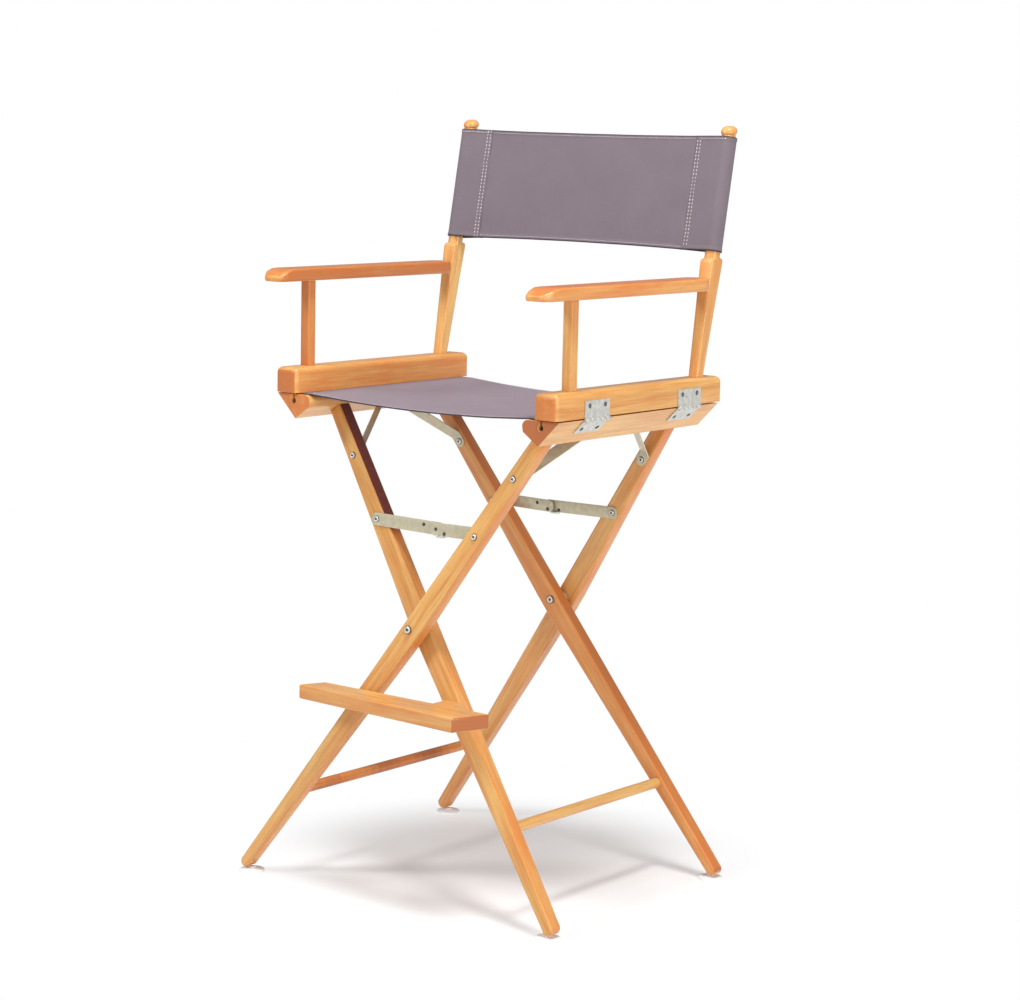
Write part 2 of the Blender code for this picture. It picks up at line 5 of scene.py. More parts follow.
import bmesh
import bpy
import numpy as np
from mathutils import Matrix, Vector
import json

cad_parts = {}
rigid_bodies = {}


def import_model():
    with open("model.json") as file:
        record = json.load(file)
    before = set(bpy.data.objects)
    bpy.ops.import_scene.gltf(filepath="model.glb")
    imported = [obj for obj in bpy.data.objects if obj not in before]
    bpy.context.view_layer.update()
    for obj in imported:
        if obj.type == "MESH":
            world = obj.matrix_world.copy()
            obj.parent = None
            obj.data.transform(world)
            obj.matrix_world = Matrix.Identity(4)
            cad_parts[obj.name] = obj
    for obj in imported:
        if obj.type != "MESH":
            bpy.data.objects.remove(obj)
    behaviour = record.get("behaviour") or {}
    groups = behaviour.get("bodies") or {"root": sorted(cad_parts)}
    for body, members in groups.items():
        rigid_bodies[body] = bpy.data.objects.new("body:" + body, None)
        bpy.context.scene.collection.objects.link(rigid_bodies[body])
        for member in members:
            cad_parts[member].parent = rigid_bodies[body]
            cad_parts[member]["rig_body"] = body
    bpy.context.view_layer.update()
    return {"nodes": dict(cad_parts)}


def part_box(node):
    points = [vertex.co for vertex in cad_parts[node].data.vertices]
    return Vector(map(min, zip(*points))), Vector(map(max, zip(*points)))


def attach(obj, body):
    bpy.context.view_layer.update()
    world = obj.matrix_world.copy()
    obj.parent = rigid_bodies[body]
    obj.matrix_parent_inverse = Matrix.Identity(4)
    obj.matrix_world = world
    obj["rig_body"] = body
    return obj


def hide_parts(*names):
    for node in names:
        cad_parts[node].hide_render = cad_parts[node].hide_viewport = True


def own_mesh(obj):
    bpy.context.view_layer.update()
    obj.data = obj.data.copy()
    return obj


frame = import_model()
nodes = frame["nodes"]


# ---- The room ------------------------------------------------------------------------------------
# A seamless white floor under soft studio light. The main lamp hangs in front, high and to the left of
# the view; others hang overhead and stand on the right, and the white room fills what is left.

scene = bpy.context.scene
scene.view_settings.view_transform = "Standard"

rail_low, rail_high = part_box("lower_rail_right")
middle_y = (rail_low.y + rail_high.y) / 2

camera_data = bpy.data.cameras.new("camera")
camera_data.lens = 94.45
camera_data.sensor_width = 36.0
camera = bpy.data.objects.new("camera", camera_data)
scene.collection.objects.link(camera)
camera_yaw, camera_pitch, camera_roll = math.radians(38.066), math.radians(8.293), math.radians(1.221)
camera.matrix_world = (
    Matrix.Translation((2.4979, -3.1535 + middle_y, 1.1703))
    @ Matrix.Rotation(camera_yaw, 4, "Z")
    @ Matrix.Rotation(math.pi / 2 - camera_pitch, 4, "X")
    @ Matrix.Rotation(camera_roll, 4, "Z")
)
scene.camera = camera


def hang_lamp(name, place, aim, size, power, colour):
    """A square lamp of the given size at place, facing aim."""
    data = bpy.data.lights.new(name, "AREA")
    data.shape = "SQUARE"
    data.size = size
    data.energy = power
    data.color = colour
    lamp = bpy.data.objects.new(name, data)
    scene.collection.objects.link(lamp)
    lamp.location = place
    lamp.rotation_euler = (Vector(aim) - Vector(place)).to_track_quat("-Z", "Y").to_euler()
    return lamp


chair_middle = (0.0, middle_y, 0.6)
hang_lamp("key_lamp", (-1.7, -3.4, 3.6), chair_middle, 1.1, 84, (1.0, 1.0, 0.995))
hang_lamp("top_lamp", (0.7, -0.6, 3.3), (0.0, middle_y, 0.7), 0.8, 62, (1.0, 1.0, 1.0))
hang_lamp("side_lamp", (3.4, -1.0, 1.35), chair_middle, 1.2, 50, (1.0, 0.99, 0.975))

world = bpy.data.worlds.new("white_room")
scene.world = world
world.use_nodes = True
sky = world.node_tree.nodes["Background"]
rays = world.node_tree.nodes.new("ShaderNodeLightPath")
room_level = world.node_tree.nodes.new("ShaderNodeMapRange")
room_level.inputs["To Min"].default_value = 0.32
room_level.inputs["To Max"].default_value = 1.0
world.node_tree.links.new(rays.outputs["Is Camera Ray"], room_level.inputs["Value"])
world.node_tree.links.new(room_level.outputs["Result"], sky.inputs["Strength"])
sky.inputs["Color"].default_value = (1.0, 1.0, 1.0, 1.0)



def full_turn(count):
    """Angles that divide a circle into count equal steps."""
    return np.linspace(0, 2 * np.pi, count, endpoint=False)


floor_mesh = bpy.data.meshes.new("floor")
floor_r, floor_sides = 9, 96
turn = full_turn(floor_sides)
floor_rim = np.stack([floor_r * np.cos(turn), floor_r * np.sin(turn), 0 * turn], 1)
floor_mesh.from_pydata(floor_rim.tolist(), [], [list(range(floor_sides))])
floor = bpy.data.objects.new("floor", floor_mesh)
scene.collection.objects.link(floor)
floor_paint = bpy.data.materials.new("white_floor")
floor_paint.use_nodes = True
floor_tree = floor_paint.node_tree
floor_shader = floor_tree.nodes["Principled BSDF"]
floor_shader.inputs["Base Color"].default_value = (0.90, 0.90, 0.905, 1)
floor_shader.inputs["Roughness"].default_value = 0.9
floor_shader.inputs["Specular IOR Level"].default_value = 0.1
floor_shader.inputs["Emission Color"].default_value = (1, 1, 1, 1)
floor_shader.inputs["Emission Strength"].default_value = 0.08
far_glow = floor_tree.nodes.new("ShaderNodeEmission")
from_chair = floor_tree.nodes.new("ShaderNodeVectorMath")
from_chair.operation = "DISTANCE"
from_chair.inputs[1].default_value = (0.0, 0.05, 0.0)
fade_out = floor_tree.nodes.new("ShaderNodeMapRange")
fade_out.interpolation_type = "SMOOTHSTEP"
fade_out.inputs["From Min"].default_value = 0.20
fade_out.inputs["From Max"].default_value = 0.46
both = floor_tree.nodes.new("ShaderNodeMixShader")
floor_place = floor_tree.nodes.new("ShaderNodeTexCoord")
floor_tree.links.new(floor_place.outputs["Object"], from_chair.inputs[0])
floor_tree.links.new(from_chair.outputs["Value"], fade_out.inputs["Value"])
floor_tree.links.new(fade_out.outputs["Result"], both.inputs["Fac"])
floor_tree.links.new(floor_shader.outputs["BSDF"], both.inputs[1])
floor_tree.links.new(far_glow.outputs["Emission"], both.inputs[2])
floor_tree.links.new(both.outputs["Shader"], floor_tree.nodes["Material Output"].inputs["Surface"])
floor_mesh.materials.append(floor_paint)


# ---- Legs ----------------------------------------------------------------------------------------
# Four beech legs sawn from 23 mm board, tapered to both ends, with a round foot and eased edges.
# Each frame holds two; the pairs cross at the pivot bolts and lean towards each other at the top.

PIVOT_Z = 0.411
LEG_ANGLE = math.radians(34.97)
LEAN = 0.125
leg_thick = 0.023
leg_upper, leg_lower = 0.0128, 0.0216
leg_top_taper, leg_foot_taper = math.radians(1.81), math.radians(2.06)
leg_top = 0.37152
foot_z = 0.016
sawing = np.random.default_rng(12)


def node_group(name, inputs, outputs):
    """An empty shader group with the named sockets, and its two end nodes."""
    group = bpy.data.node_groups.new(name, "ShaderNodeTree")
    for label, kind, value in inputs:
        socket = group.interface.new_socket(label, in_out="INPUT", socket_type="NodeSocket" + kind)
        if value is not None:
            socket.default_value = value
    for label, kind in outputs:
        group.interface.new_socket(label, in_out="OUTPUT", socket_type="NodeSocket" + kind)
    return group, group.nodes.new("NodeGroupInput"), group.nodes.new("NodeGroupOutput")


class Bench:
    """Places shader nodes in one tree and joins them, one call for each node. A source may be a socket
    or a plain value, and coat joins a colour, a roughness and a bump to a shader.
    """

    def __init__(self, tree):
        self.tree = tree

    def put(self, kind, links=None, **settings):
        node = self.tree.nodes.new("ShaderNode" + kind)
        for key, value in settings.items():
            setattr(node, key, value)
        for socket, source in (links or {}).items():
            self.feed(node.inputs[socket], source)
        return node

    def feed(self, socket, source):
        if isinstance(source, bpy.types.NodeSocket):
            self.tree.links.new(source, socket)
        else:
            socket.default_value = source

    def math(self, operation, first, second=0.0, third=0.0, clamp=False):
        node = self.put("Math", {0: first, 1: second, 2: third}, operation=operation, use_clamp=clamp)
        return node.outputs[0]

    def vector(self, operation, first, second):
        return self.put("VectorMath", {0: first, 1: second}, operation=operation).outputs[0]

    def noise(self, place, scale, detail=2.0, roughness=0.5):
        links = {"Vector": place, "Scale": scale, "Detail": detail, "Roughness": roughness}
        return self.put("TexNoise", links).outputs["Fac"]

    def spread(self, value, low, high, to_low=0.0, to_high=1.0):
        links = {"Value": value, "From Min": low, "From Max": high, "To Min": to_low, "To Max": to_high}
        return self.put("MapRange", links).outputs["Result"]

    def mix(self, share, first, second, blend="MIX"):
        node = self.put("Mix", data_type="RGBA", blend_type=blend)
        for socket, source in ((node.inputs[0], share), (node.inputs[6], first), (node.inputs[7], second)):
            self.feed(socket, source)
        return node.outputs[2]

    def coat(self, shader, colour, roughness, height, strength, distance):
        self.feed(shader.inputs["Base Color"], colour)
        self.feed(shader.inputs["Roughness"], roughness)
        bump = self.put("Bump", {"Height": height, "Strength": strength, "Distance": distance})
        self.feed(shader.inputs["Normal"], bump.outputs["Normal"])


def new_finish(name):
    """An empty material, with the bench for its nodes and its shader."""
    finish = bpy.data.materials.new(name)
    finish.use_nodes = True
    return finish, Bench(finish.node_tree), finish.node_tree.nodes["Principled BSDF"]


figure, figure_in, figure_out = node_group(
    "wood_figure",
    [("Place", "Vector", None), ("Stain and shade", "Float", 0.0), ("Light", "Color", (0.86, 0.53, 0.2, 1)),
     ("Dark", "Color", (0.7, 0.34, 0.1, 1)), ("Amber", "Color", (0.6, 0.2, 0.05, 1)),
     ("Deep", "Color", (0.17, 0.035, 0.022, 1))],
    [("Color", "Color"), ("Roughness", "Float"), ("Height", "Float")],
)
bench = Bench(figure)
place = figure_in.outputs["Place"]
rings = bench.noise(bench.vector("MULTIPLY", place, (5.0, 90.0, 60.0)), 1.0, 4.0, 0.55)
streaks = bench.noise(bench.vector("MULTIPLY", place, (14.0, 420.0, 300.0)), 1.0, 3.0, 0.6)
flecks = bench.noise(bench.vector("MULTIPLY", place, (210.0, 1900.0, 700.0)), 1.0, 1.0, 0.5)
clouds = bench.noise(bench.vector("MULTIPLY", place, (3.0, 9.0, 9.0)), 1.0, 1.0, 0.5)
grain_mask = bench.math("ADD", bench.math("MULTIPLY", bench.spread(rings, 0.38, 0.66), 0.48),
                        bench.math("MULTIPLY", bench.spread(streaks, 0.42, 0.64), 0.34))
cloud_mask = bench.spread(clouds, 0.3, 0.7, -0.16, 0.36)
fleck_mask = bench.spread(flecks, 0.60, 0.74)
base = bench.mix(bench.math("ADD", grain_mask, cloud_mask, clamp=True), figure_in.outputs["Light"],
                 figure_in.outputs["Dark"])
blotches = bench.noise(bench.vector("MULTIPLY", place, (11.0, 30.0, 30.0)), 1.0, 3.0, 0.6)
blotch_mask = bench.spread(blotches, 0.42, 0.70, 0, 0.38)
amber_share = bench.math("MULTIPLY", bench.math("ADD", figure_in.outputs["Stain and shade"], blotch_mask),
                         bench.math("ADD", bench.math("MULTIPLY", grain_mask, 0.6), 0.6), clamp=True)
ambered = bench.mix(amber_share, base, figure_in.outputs["Amber"])
# Past 1 the wood turns towards Deep: the darker end grain, and the painted shadow from the seat on the
# legs.
stained_and_shaded = bench.mix(bench.spread(figure_in.outputs["Stain and shade"], 1.0, 2.0), ambered, figure_in.outputs["Deep"])
flecked = bench.mix(bench.math("MULTIPLY", fleck_mask, 0.42), stained_and_shaded, (0.42, 0.18, 0.06, 1))
bench.feed(figure_out.inputs["Color"], flecked)
bench.feed(figure_out.inputs["Roughness"], bench.math("ADD", bench.math("MULTIPLY", streaks, 0.16), 0.28))
open_pores = bench.math("MULTIPLY", fleck_mask, 0.6)
bench.feed(figure_out.inputs["Height"],
           bench.math("SUBTRACT", bench.math("MULTIPLY", streaks, 0.5), open_pores))

beech, bench, shader = new_finish("lacquered_beech")
plank = bench.put("Attribute", attribute_name="grain", attribute_type="GEOMETRY")
stain_and_shade = bench.put("Attribute", attribute_name="stain_and_shade", attribute_type="GEOMETRY")
# Painted shadow from the seat on the leg tops; it adds to the stain and can darken the wood towards Deep.
seat_shadow = bench.put("Attribute", attribute_name="seat_shadow", attribute_type="GEOMETRY")
seat_shadow_share = bench.spread(seat_shadow.outputs["Fac"], 0.0, 2.0, 0.0, 2.0)
wood = bench.put("Group", {
    "Place": plank.outputs["Vector"],
    "Stain and shade": bench.math("ADD", stain_and_shade.outputs["Fac"], seat_shadow_share),
    "Light": (0.86, 0.535, 0.185, 1),
    "Dark": (0.61, 0.26, 0.062, 1),
    "Amber": (0.70, 0.215, 0.045, 1),
}, node_tree=figure)
bench.coat(shader, wood.outputs["Color"], wood.outputs["Roughness"], wood.outputs["Height"], 0.25, 0.0003)
shader.inputs["Coat Weight"].default_value = 0.35
shader.inputs["Coat Roughness"].default_value = 0.22
shader.inputs["Specular IOR Level"].default_value = 0.4


def board_section(left, right, low, high, radius, steps=4):
    """One rounded rectangle for each station, as (station, point, 2): every point is its corner's
    centre plus the radius times (cos t, sin t), with t running through that corner's quarter turn.
    """
    left, right, low, high, radius = (np.atleast_1d(np.asarray(v, float))[:, None]
                                      for v in np.broadcast_arrays(left, right, low, high, radius))
    quarter = np.linspace(0, np.pi / 2, steps + 1)
    turn = np.concatenate([quarter + k * np.pi / 2 for k in range(4)])[None, :]
    corner = np.repeat(np.arange(4), steps + 1)[None, :]
    centre_u = np.where((corner == 0) | (corner == 3), right - radius, left + radius)
    centre_v = np.where(corner < 2, high - radius, low + radius)
    return np.stack([centre_u + radius * np.cos(turn), centre_v + radius * np.sin(turn)], 2)


def eased_ends(start, end, radius, steps=4):
    """Stations from start to end whose first and last few follow a quarter circle of that radius.
    Gives the stations and how far the outline is drawn in at each.
    """
    turn = np.linspace(0, np.pi / 2, steps + 1)
    into, inset = radius * (1 - np.cos(turn)), radius * (1 - np.sin(turn))
    return (np.concatenate([start + into, end - into[::-1]]), np.concatenate([inset, inset[::-1]]))


def ring_quads(rings, around):
    """The four-sided faces that join closed rings of points, whose points are numbered ring by ring."""
    row = np.arange(rings - 1)[:, None] * around
    column = np.arange(around)[None, :]
    after = (column + 1) % around
    corners = [row + column, row + after, row + around + after, row + around + column]
    return np.stack(corners, 2).reshape(-1, 4)


def closed_piece(name, points, faces, crisp=None):
    """A smooth piece whose faces are turned outwards. Edges sharper than crisp degrees stay crisp."""
    mesh = bpy.data.meshes.new(name)
    mesh.from_pydata(points, [], faces)
    shell = bmesh.new()
    shell.from_mesh(mesh)
    bmesh.ops.recalc_face_normals(shell, faces=shell.faces)
    shell.to_mesh(mesh)
    shell.free()
    mesh.shade_smooth()
    if crisp is not None:
        mesh.set_sharp_from_angle(angle=math.radians(crisp))
    piece = bpy.data.objects.new(name, mesh)
    scene.collection.objects.link(piece)
    return piece


def skin(name, sections, crisp=40.0):
    """A closed piece through loops of points, (station, point, 3), with a flat face at each end."""
    stations, around, _ = sections.shape
    last = (stations - 1) * around
    ends = [list(range(around))[::-1], list(range(last, last + around))]
    return closed_piece(name, sections.reshape(-1, 3), ring_quads(stations, around).tolist() + ends, crisp)


def finish_wood(piece, along, body, node, stain_and_shade=0.0, end_stain=0.75, shadow_bands=(), **faces):
    """Beech for a piece that stands for one CAD node: each point keeps its place in the plank, which is
    the distance along the grain and the two across it, moved by a drawn offset so that no two match.
    The lacquer ambers a face by stain and by end_stain on end grain. The share named for its side
    (left, right, top, under, front), times the square of how squarely the face looks that way, is painted
    shade on faces turned that way; a negative share is painted light.
    Each shadow band after end_stain is a side, a height and a slope: on that side the wood darkens above
    that height, as painted shadow from the seat.
    """
    mesh = piece.data
    places = np.empty(len(mesh.vertices) * 3)
    mesh.vertices.foreach_get("co", places)
    along = np.array(along, float) / np.linalg.norm(along)
    across = np.cross(along, (0.35, 0.9, 0.26) if abs(along[1]) < 0.9 else (1, 0, 0.3))
    across /= np.linalg.norm(across)
    plank_axes = np.stack([along, across, np.cross(along, across)])
    in_plank = places.reshape(-1, 3) @ plank_axes.T + sawing.uniform(-4, 4, 3)
    mesh.attributes.new("grain", "FLOAT_VECTOR", "POINT").data.foreach_set("vector", in_plank.ravel())
    sides = {"left": (-1, 0, 0), "right": (1, 0, 0), "top": (0, 0, 1), "under": (0, 0, -1),
             "front": (0, -1, 0)}
    looks = np.empty(len(mesh.polygons) * 3)
    mesh.polygons.foreach_get("normal", looks)
    looks = looks.reshape(-1, 3)
    depth = np.zeros(len(looks)) + stain_and_shade
    # Painted shade: each side's share darkens the faces turned that way; a negative share lightens them.
    for side, share in faces.items():
        depth = depth + share * np.clip(looks @ sides[side], 0, 1) ** 2
    depth = np.where(abs(looks @ along) > 0.8, end_stain, depth)
    mesh.attributes.new("stain_and_shade", "FLOAT", "FACE").data.foreach_set("value", depth)
    # Painted shadow from the seat: on each band's side the wood darkens above that band's height.
    if shadow_bands:
        corner = np.empty(len(mesh.loops), np.int32)
        mesh.loops.foreach_get("vertex_index", corner)
        height = places.reshape(-1, 3)[corner, 2]
        shadow_depth = np.zeros(len(corner))
        for side, start, slope in shadow_bands:
            turned_there = np.repeat(looks @ sides[side] > 0.6, [len(p.vertices) for p in mesh.polygons])
            shadow_depth = np.where(turned_there, (height - start) * slope, shadow_depth)
        mesh.attributes.new("seat_shadow", "FLOAT", "CORNER").data.foreach_set("value", shadow_depth)
    mesh.materials.append(beech)
    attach(piece, body)
    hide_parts(node)
    return piece


def leg_place(side, end, y_pivot, s, across, through):
    """A point s up a leg from the pivot, across it towards its underside, and through its thickness.
    Its Y follows the leg plane, which leans by LEAN for every metre of height.
    """
    x = side * (s * math.sin(LEG_ANGLE) + across * math.cos(LEG_ANGLE))
    z = PIVOT_Z + s * math.cos(LEG_ANGLE) - across * math.sin(LEG_ANGLE)
    y = y_pivot - end * LEAN * (z - PIVOT_Z) + through + middle_y
    return np.stack(np.broadcast_arrays(x, y, z), -1)


def foot_circle():
    """(s, across, radius) of the round foot, whose centre stands at foot_z."""
    s = -(PIVOT_Z - foot_z) / math.cos(LEG_ANGLE)
    for _ in range(4):
        lower = leg_lower + s * math.tan(leg_foot_taper)
        across = (lower - leg_upper) / 2
        s = -(PIVOT_Z - foot_z - across * math.sin(LEG_ANGLE)) / math.cos(LEG_ANGLE)
    return s, across, (lower + leg_upper) / 2


foot_s, foot_across, foot_r = foot_circle()
FRONT, REAR = -1, 1
legs = {
    "outer_front": (1, FRONT, -0.1882),
    "inner_front": (-1, FRONT, -0.1572),
    "inner_rear": (-1, REAR, 0.1572),
    "outer_rear": (1, REAR, 0.1882),
}
# Each leg's stain, then the height from which painted shadow from the seat darkens its right side,
# and how fast.
leg_shades = {
    "outer_front": (0.05, 0.66, 9),
    "inner_front": (0.1, 0.525, 38),
    "inner_rear": (0.65, 0.66, 9),
    "outer_rear": (0.3, 0.66, 9),
}
leg_edge = 0.0032
top_edge = leg_edge * 0.4
foot_turn = np.radians(np.linspace(87, 0, 14))
shaft = np.linspace(foot_s, leg_top - top_edge, 30)[1:]
top_turn = np.radians(np.linspace(0, 90, 5))[1:]
leg_s = np.concatenate([foot_s - foot_r * np.sin(foot_turn), shaft,
                        leg_top - top_edge * (1 - np.sin(top_turn))])
leg_inset = np.concatenate([np.zeros(len(foot_turn) + len(shaft)), top_edge * (1 - np.cos(top_turn))])
for word, (side, end, y_pivot) in legs.items():
    lower_edge = np.where(leg_s > 0, leg_lower - leg_s * math.tan(leg_top_taper),
                          leg_lower + leg_s * math.tan(leg_foot_taper))
    upper_edge = np.full(len(leg_s), -leg_upper)
    foot_half = foot_r * np.cos(foot_turn)
    lower_edge[:len(foot_turn)] = foot_across + foot_half
    upper_edge[:len(foot_turn)] = foot_across - foot_half
    half = leg_thick / 2 - leg_inset
    foot_dome = np.ones(len(leg_s))
    foot_dome[:len(foot_turn)] = 0.72 + 0.28 * np.cos(foot_turn) ** 0.5
    half = half * foot_dome
    ease = np.minimum(leg_edge, 0.46 * (lower_edge - upper_edge))
    outline = board_section(upper_edge + leg_inset, lower_edge - leg_inset, -half, half, ease, 5)
    loops = leg_place(side, end, y_pivot, leg_s[:, None], outline[..., 0], outline[..., 1])
    leg = skin(f"wood_leg_{word}", loops)
    leg_stain, shadow_from, shadow_slope = leg_shades[word]
    direction = (side * math.sin(LEG_ANGLE), -end * LEAN * math.cos(LEG_ANGLE), math.cos(LEG_ANGLE))
    # The front faces darken above 0.665 m and the right side above its own height, as painted shadow from
    # the seat; the right and left shares are painted shade on the leg's sides.
    finish_wood(leg, direction, word.split("_")[0] + "_frame", f"leg_{word}", leg_stain, 0.5,
                (("front", 0.665, 12), ("right", shadow_from, shadow_slope)), right=0.75, left=0.3)


# ---- Stretchers ----------------------------------------------------------------------------------
# A 16 mm beech dowel holds the two legs of each frame apart, let into their inner faces.

stretcher_z, stretcher_r, stretcher_gap = 0.142, 0.008, 0.0003
stretcher_sides, stretcher_steps = 32, 24
for word in ("outer", "inner"):
    side, _, y_pivot = legs[f"{word}_rear"]
    turn = full_turn(stretcher_sides)
    centre_x = -side * (PIVOT_Z - stretcher_z) * math.tan(LEG_ANGLE)
    x = centre_x + stretcher_r * np.cos(turn)
    z = stretcher_z + stretcher_r * np.sin(turn)
    reach = (y_pivot - leg_thick / 2 - stretcher_gap) - LEAN * (z - PIVOT_Z)
    share = np.linspace(-1, 1, stretcher_steps + 1)[:, None]
    loops = np.stack(np.broadcast_arrays(x, share * reach + middle_y, z), -1)
    stretcher = skin(f"wood_stretcher_{word}", loops)
    flame = (0.45 + 0.4 * np.sin(np.linspace(0.8, 15.8, stretcher_steps))
             * np.sin(np.linspace(0, 6.2, stretcher_steps)))
    flame = np.concatenate([np.repeat(flame, stretcher_sides), [0.5, 0.5]])
    # The under share is painted shade on the dowel's underside.
    finish_wood(stretcher, (0, 1, 0), f"{word}_frame", f"stretcher_{word}",
                flame + 0.7 if word == "outer" else 0.05, under=0.6)


# ---- Seat rails ----------------------------------------------------------------------------------
# The lower rail joins the two leg tops of its frame: a beech section with a slanted outside, a round
# nose that the cloth runs over, and a keyhole slot that holds the cloth's rod.

rail_length = 0.397
lower_top, upper_bottom, upper_top = 0.740, 0.742, 0.780
rail_inner, rail_outer = 0.2247, 0.2677
upper_front, upper_back = -0.2045, 0.2085
tip_x, tip_z = 0.231, 0.703
nose_x, nose_r = 0.2115, 0.0095
groove_x, groove_width, bore_z, bore_r = 0.235, 0.0044, 0.7300, 0.0044
inner_slope = 0.034
frame_sides = (("right", 1, "outer_frame"), ("left", -1, "inner_frame"))


def arc(cx, cz, radius, start, end, steps):
    """Points at radius from a centre, from the start angle to the end angle in degrees."""
    turn = np.radians(np.linspace(start, end, steps + 1))
    return np.stack([cx + radius * np.cos(turn), cz + radius * np.sin(turn)], 1)


slot_half = groove_width / 2
mouth = math.degrees(math.acos(slot_half / bore_r))
lower_section = np.concatenate([
    [(tip_x, tip_z), (rail_outer, lower_top), (groove_x + slot_half, lower_top)],
    arc(groove_x, bore_z, bore_r, mouth, mouth - 360 + 2 * (90 - mouth), 24),
    [(groove_x - slot_half, lower_top)],
    arc(nose_x, lower_top - nose_r, nose_r, 90, 200, 12),
    [(tip_x - inner_slope * math.cos(LEG_ANGLE), tip_z + inner_slope * math.sin(LEG_ANGLE))],
])


def ease_edges(piece, width, angle=30):
    """Rounds the piece's sharp edges with a Bevel modifier."""
    edge = piece.modifiers.new("eased_edges", "BEVEL")
    edge.width = width
    edge.segments = 3
    edge.limit_method = "ANGLE"
    edge.angle_limit = math.radians(angle)


for word, side, body in frame_sides:
    ends = np.array([-rail_length / 2, rail_length / 2])[:, None]
    x, z = side * lower_section[:, 0], lower_section[:, 1]
    loops = np.stack(np.broadcast_arrays(x, ends + middle_y, z), -1)
    lower_rail = skin(f"wood_lower_rail_{word}", loops, 30)
    ease_edges(lower_rail, 0.0011)
    finish_wood(lower_rail, (0, 1, 0), body, f"lower_rail_{word}", 0.15, 1.42 if side > 0 else 1.1)


# ---- Arm rails -----------------------------------------------------------------------------------
# The upper rail lies on the lower one and carries both arm posts. Its top and its ends are rounded
# over to 9 mm; its underside stays flat.

over_r, square_below = 0.0092, 0.010
chair_sides = (("right", 1), ("left", -1))
for word, side in chair_sides:
    stations, inset = eased_ends(upper_front, upper_back, over_r, 8)
    centre = side * (rail_inner + rail_outer) / 2
    half = (rail_outer - rail_inner) / 2 - inset
    corner = np.maximum(over_r - inset, 0.0006)
    outline = board_section(centre - half, centre + half, upper_bottom, upper_top - inset, corner, 6)
    low_half = outline[..., 1] < upper_bottom + square_below
    squared = np.sign(outline[..., 0] - centre) * half[:, None] + centre
    outline[..., 0] = np.where(low_half, squared, outline[..., 0])
    first_half = np.arange(outline.shape[1]) < outline.shape[1] // 2
    outline[..., 1] = np.where(low_half & first_half, upper_bottom, outline[..., 1])
    y = np.broadcast_to(stations[:, None] + middle_y, outline.shape[:2])
    upper_rail = skin(f"wood_upper_rail_{word}", np.stack([outline[..., 0], y, outline[..., 1]], -1), 50)
    # The inner face's share is painted shade on the face turned to the seat.
    rail_stain, end_stain, inner_face = (0.04, 1.12, "left") if side > 0 else (0.2, 1.28, "right")
    finish_wood(upper_rail, (0, 1, 0), f"{word}_arm", f"upper_rail_{word}", rail_stain, end_stain,
                **{inner_face: 0.45})


# ---- Arm posts -----------------------------------------------------------------------------------
# The front post is a plain 17 mm square. The back post grows from a square foot to a wide shoulder,
# then turns into a round dowel for the cloth's sleeve, with a flattened ball on top.

post_x = 0.249
front_post_y, front_post_half = -0.152, 0.0085
arm_bottom, arm_top, arm_half, arm_front = 0.9095, 0.9285, 0.0225, -0.235
back_post_y, back_lean = 0.163, 0.189
dowel_r, back_high, top_z = 0.0115, 1.1365, 1.1535
ball_r, ball_high = 0.0122, 0.0085
post_gap, post_corner = 0.0003, 0.003
neck_z, neck_r = back_high + 0.002, dowel_r - 0.0008

# The back post's levels: height over the rail, half widths along X and Y, and the power of the curve
# abs(x) ** power + abs(y) ** power = 1, which is a circle at 2 and nearly a square at 7.
post_levels = np.array([
    (0.0003, 0.0085, 0.0085, 7), (0.060, 0.0095, 0.0110, 7), (0.120, 0.0108, 0.0130, 7),
    (0.163, 0.0119, 0.0149, 7), (0.1715, 0.0120, 0.0150, 7), (0.1738, 0.0119, 0.0148, 6),
    (0.1756, 0.0117, 0.0140, 4.5), (0.1767, 0.0115, 0.0122, 2.6),
    (0.177, dowel_r, dowel_r, 2), (neck_z - upper_top, neck_r, neck_r, 2),
])
ball_turn = np.radians(np.linspace(-38, 84, 16))
ball_half = ball_r * np.cos(ball_turn) ** 0.8
ball_height = top_z - ball_high + ball_high * np.sin(ball_turn) - upper_top
ball = np.stack([ball_height, ball_half, ball_half, 0 * ball_turn + 2], 1)
post_levels = np.concatenate([post_levels, ball])
height, half_x, half_y, power = (post_levels[:, k, None] for k in range(4))

for word, side in chair_sides:
    stations = np.array([upper_top + post_gap, arm_bottom - post_gap])
    outline = board_section(side * post_x - front_post_half, side * post_x + front_post_half,
                            front_post_y - front_post_half, front_post_y + front_post_half,
                            [post_corner, post_corner], 5)
    loops = np.concatenate([outline, np.broadcast_to(stations[:, None, None], outline.shape[:2] + (1,))], 2)
    loops[..., 1] += middle_y
    post = skin(f"wood_front_post_{word}", loops)
    # On the left post the front share is painted shade on its front faces.
    post_stain, front_shade = (0.15, 0.0) if side > 0 else (0.9, 0.35)
    finish_wood(post, (0, 0, 1), f"{word}_arm", f"front_post_{word}", post_stain, front=front_shade)

    turn = full_turn(48)[None, :] + np.pi / 48
    reach = (np.abs(np.cos(turn)) ** power + np.abs(np.sin(turn)) ** power) ** (-1 / power)
    loops = np.stack([side * post_x + half_x * np.cos(turn) * reach,
                      back_post_y + back_lean * height + half_y * np.sin(turn) * reach + middle_y,
                      upper_top + height + 0 * turn], -1)
    post = skin(f"wood_back_post_{word}", loops)
    # The front share is painted shade on the front faces.
    finish_wood(post, (0, back_lean, 1), f"{word}_arm", f"back_post_{word}", 0.2 if side > 0 else 0.05,
                0.0, front=0.15)


# ---- Armrests ------------------------------------------------------------------------------------
# Beech paddles 45 mm wide, with clipped corners, eased edges and a front end that slopes down.

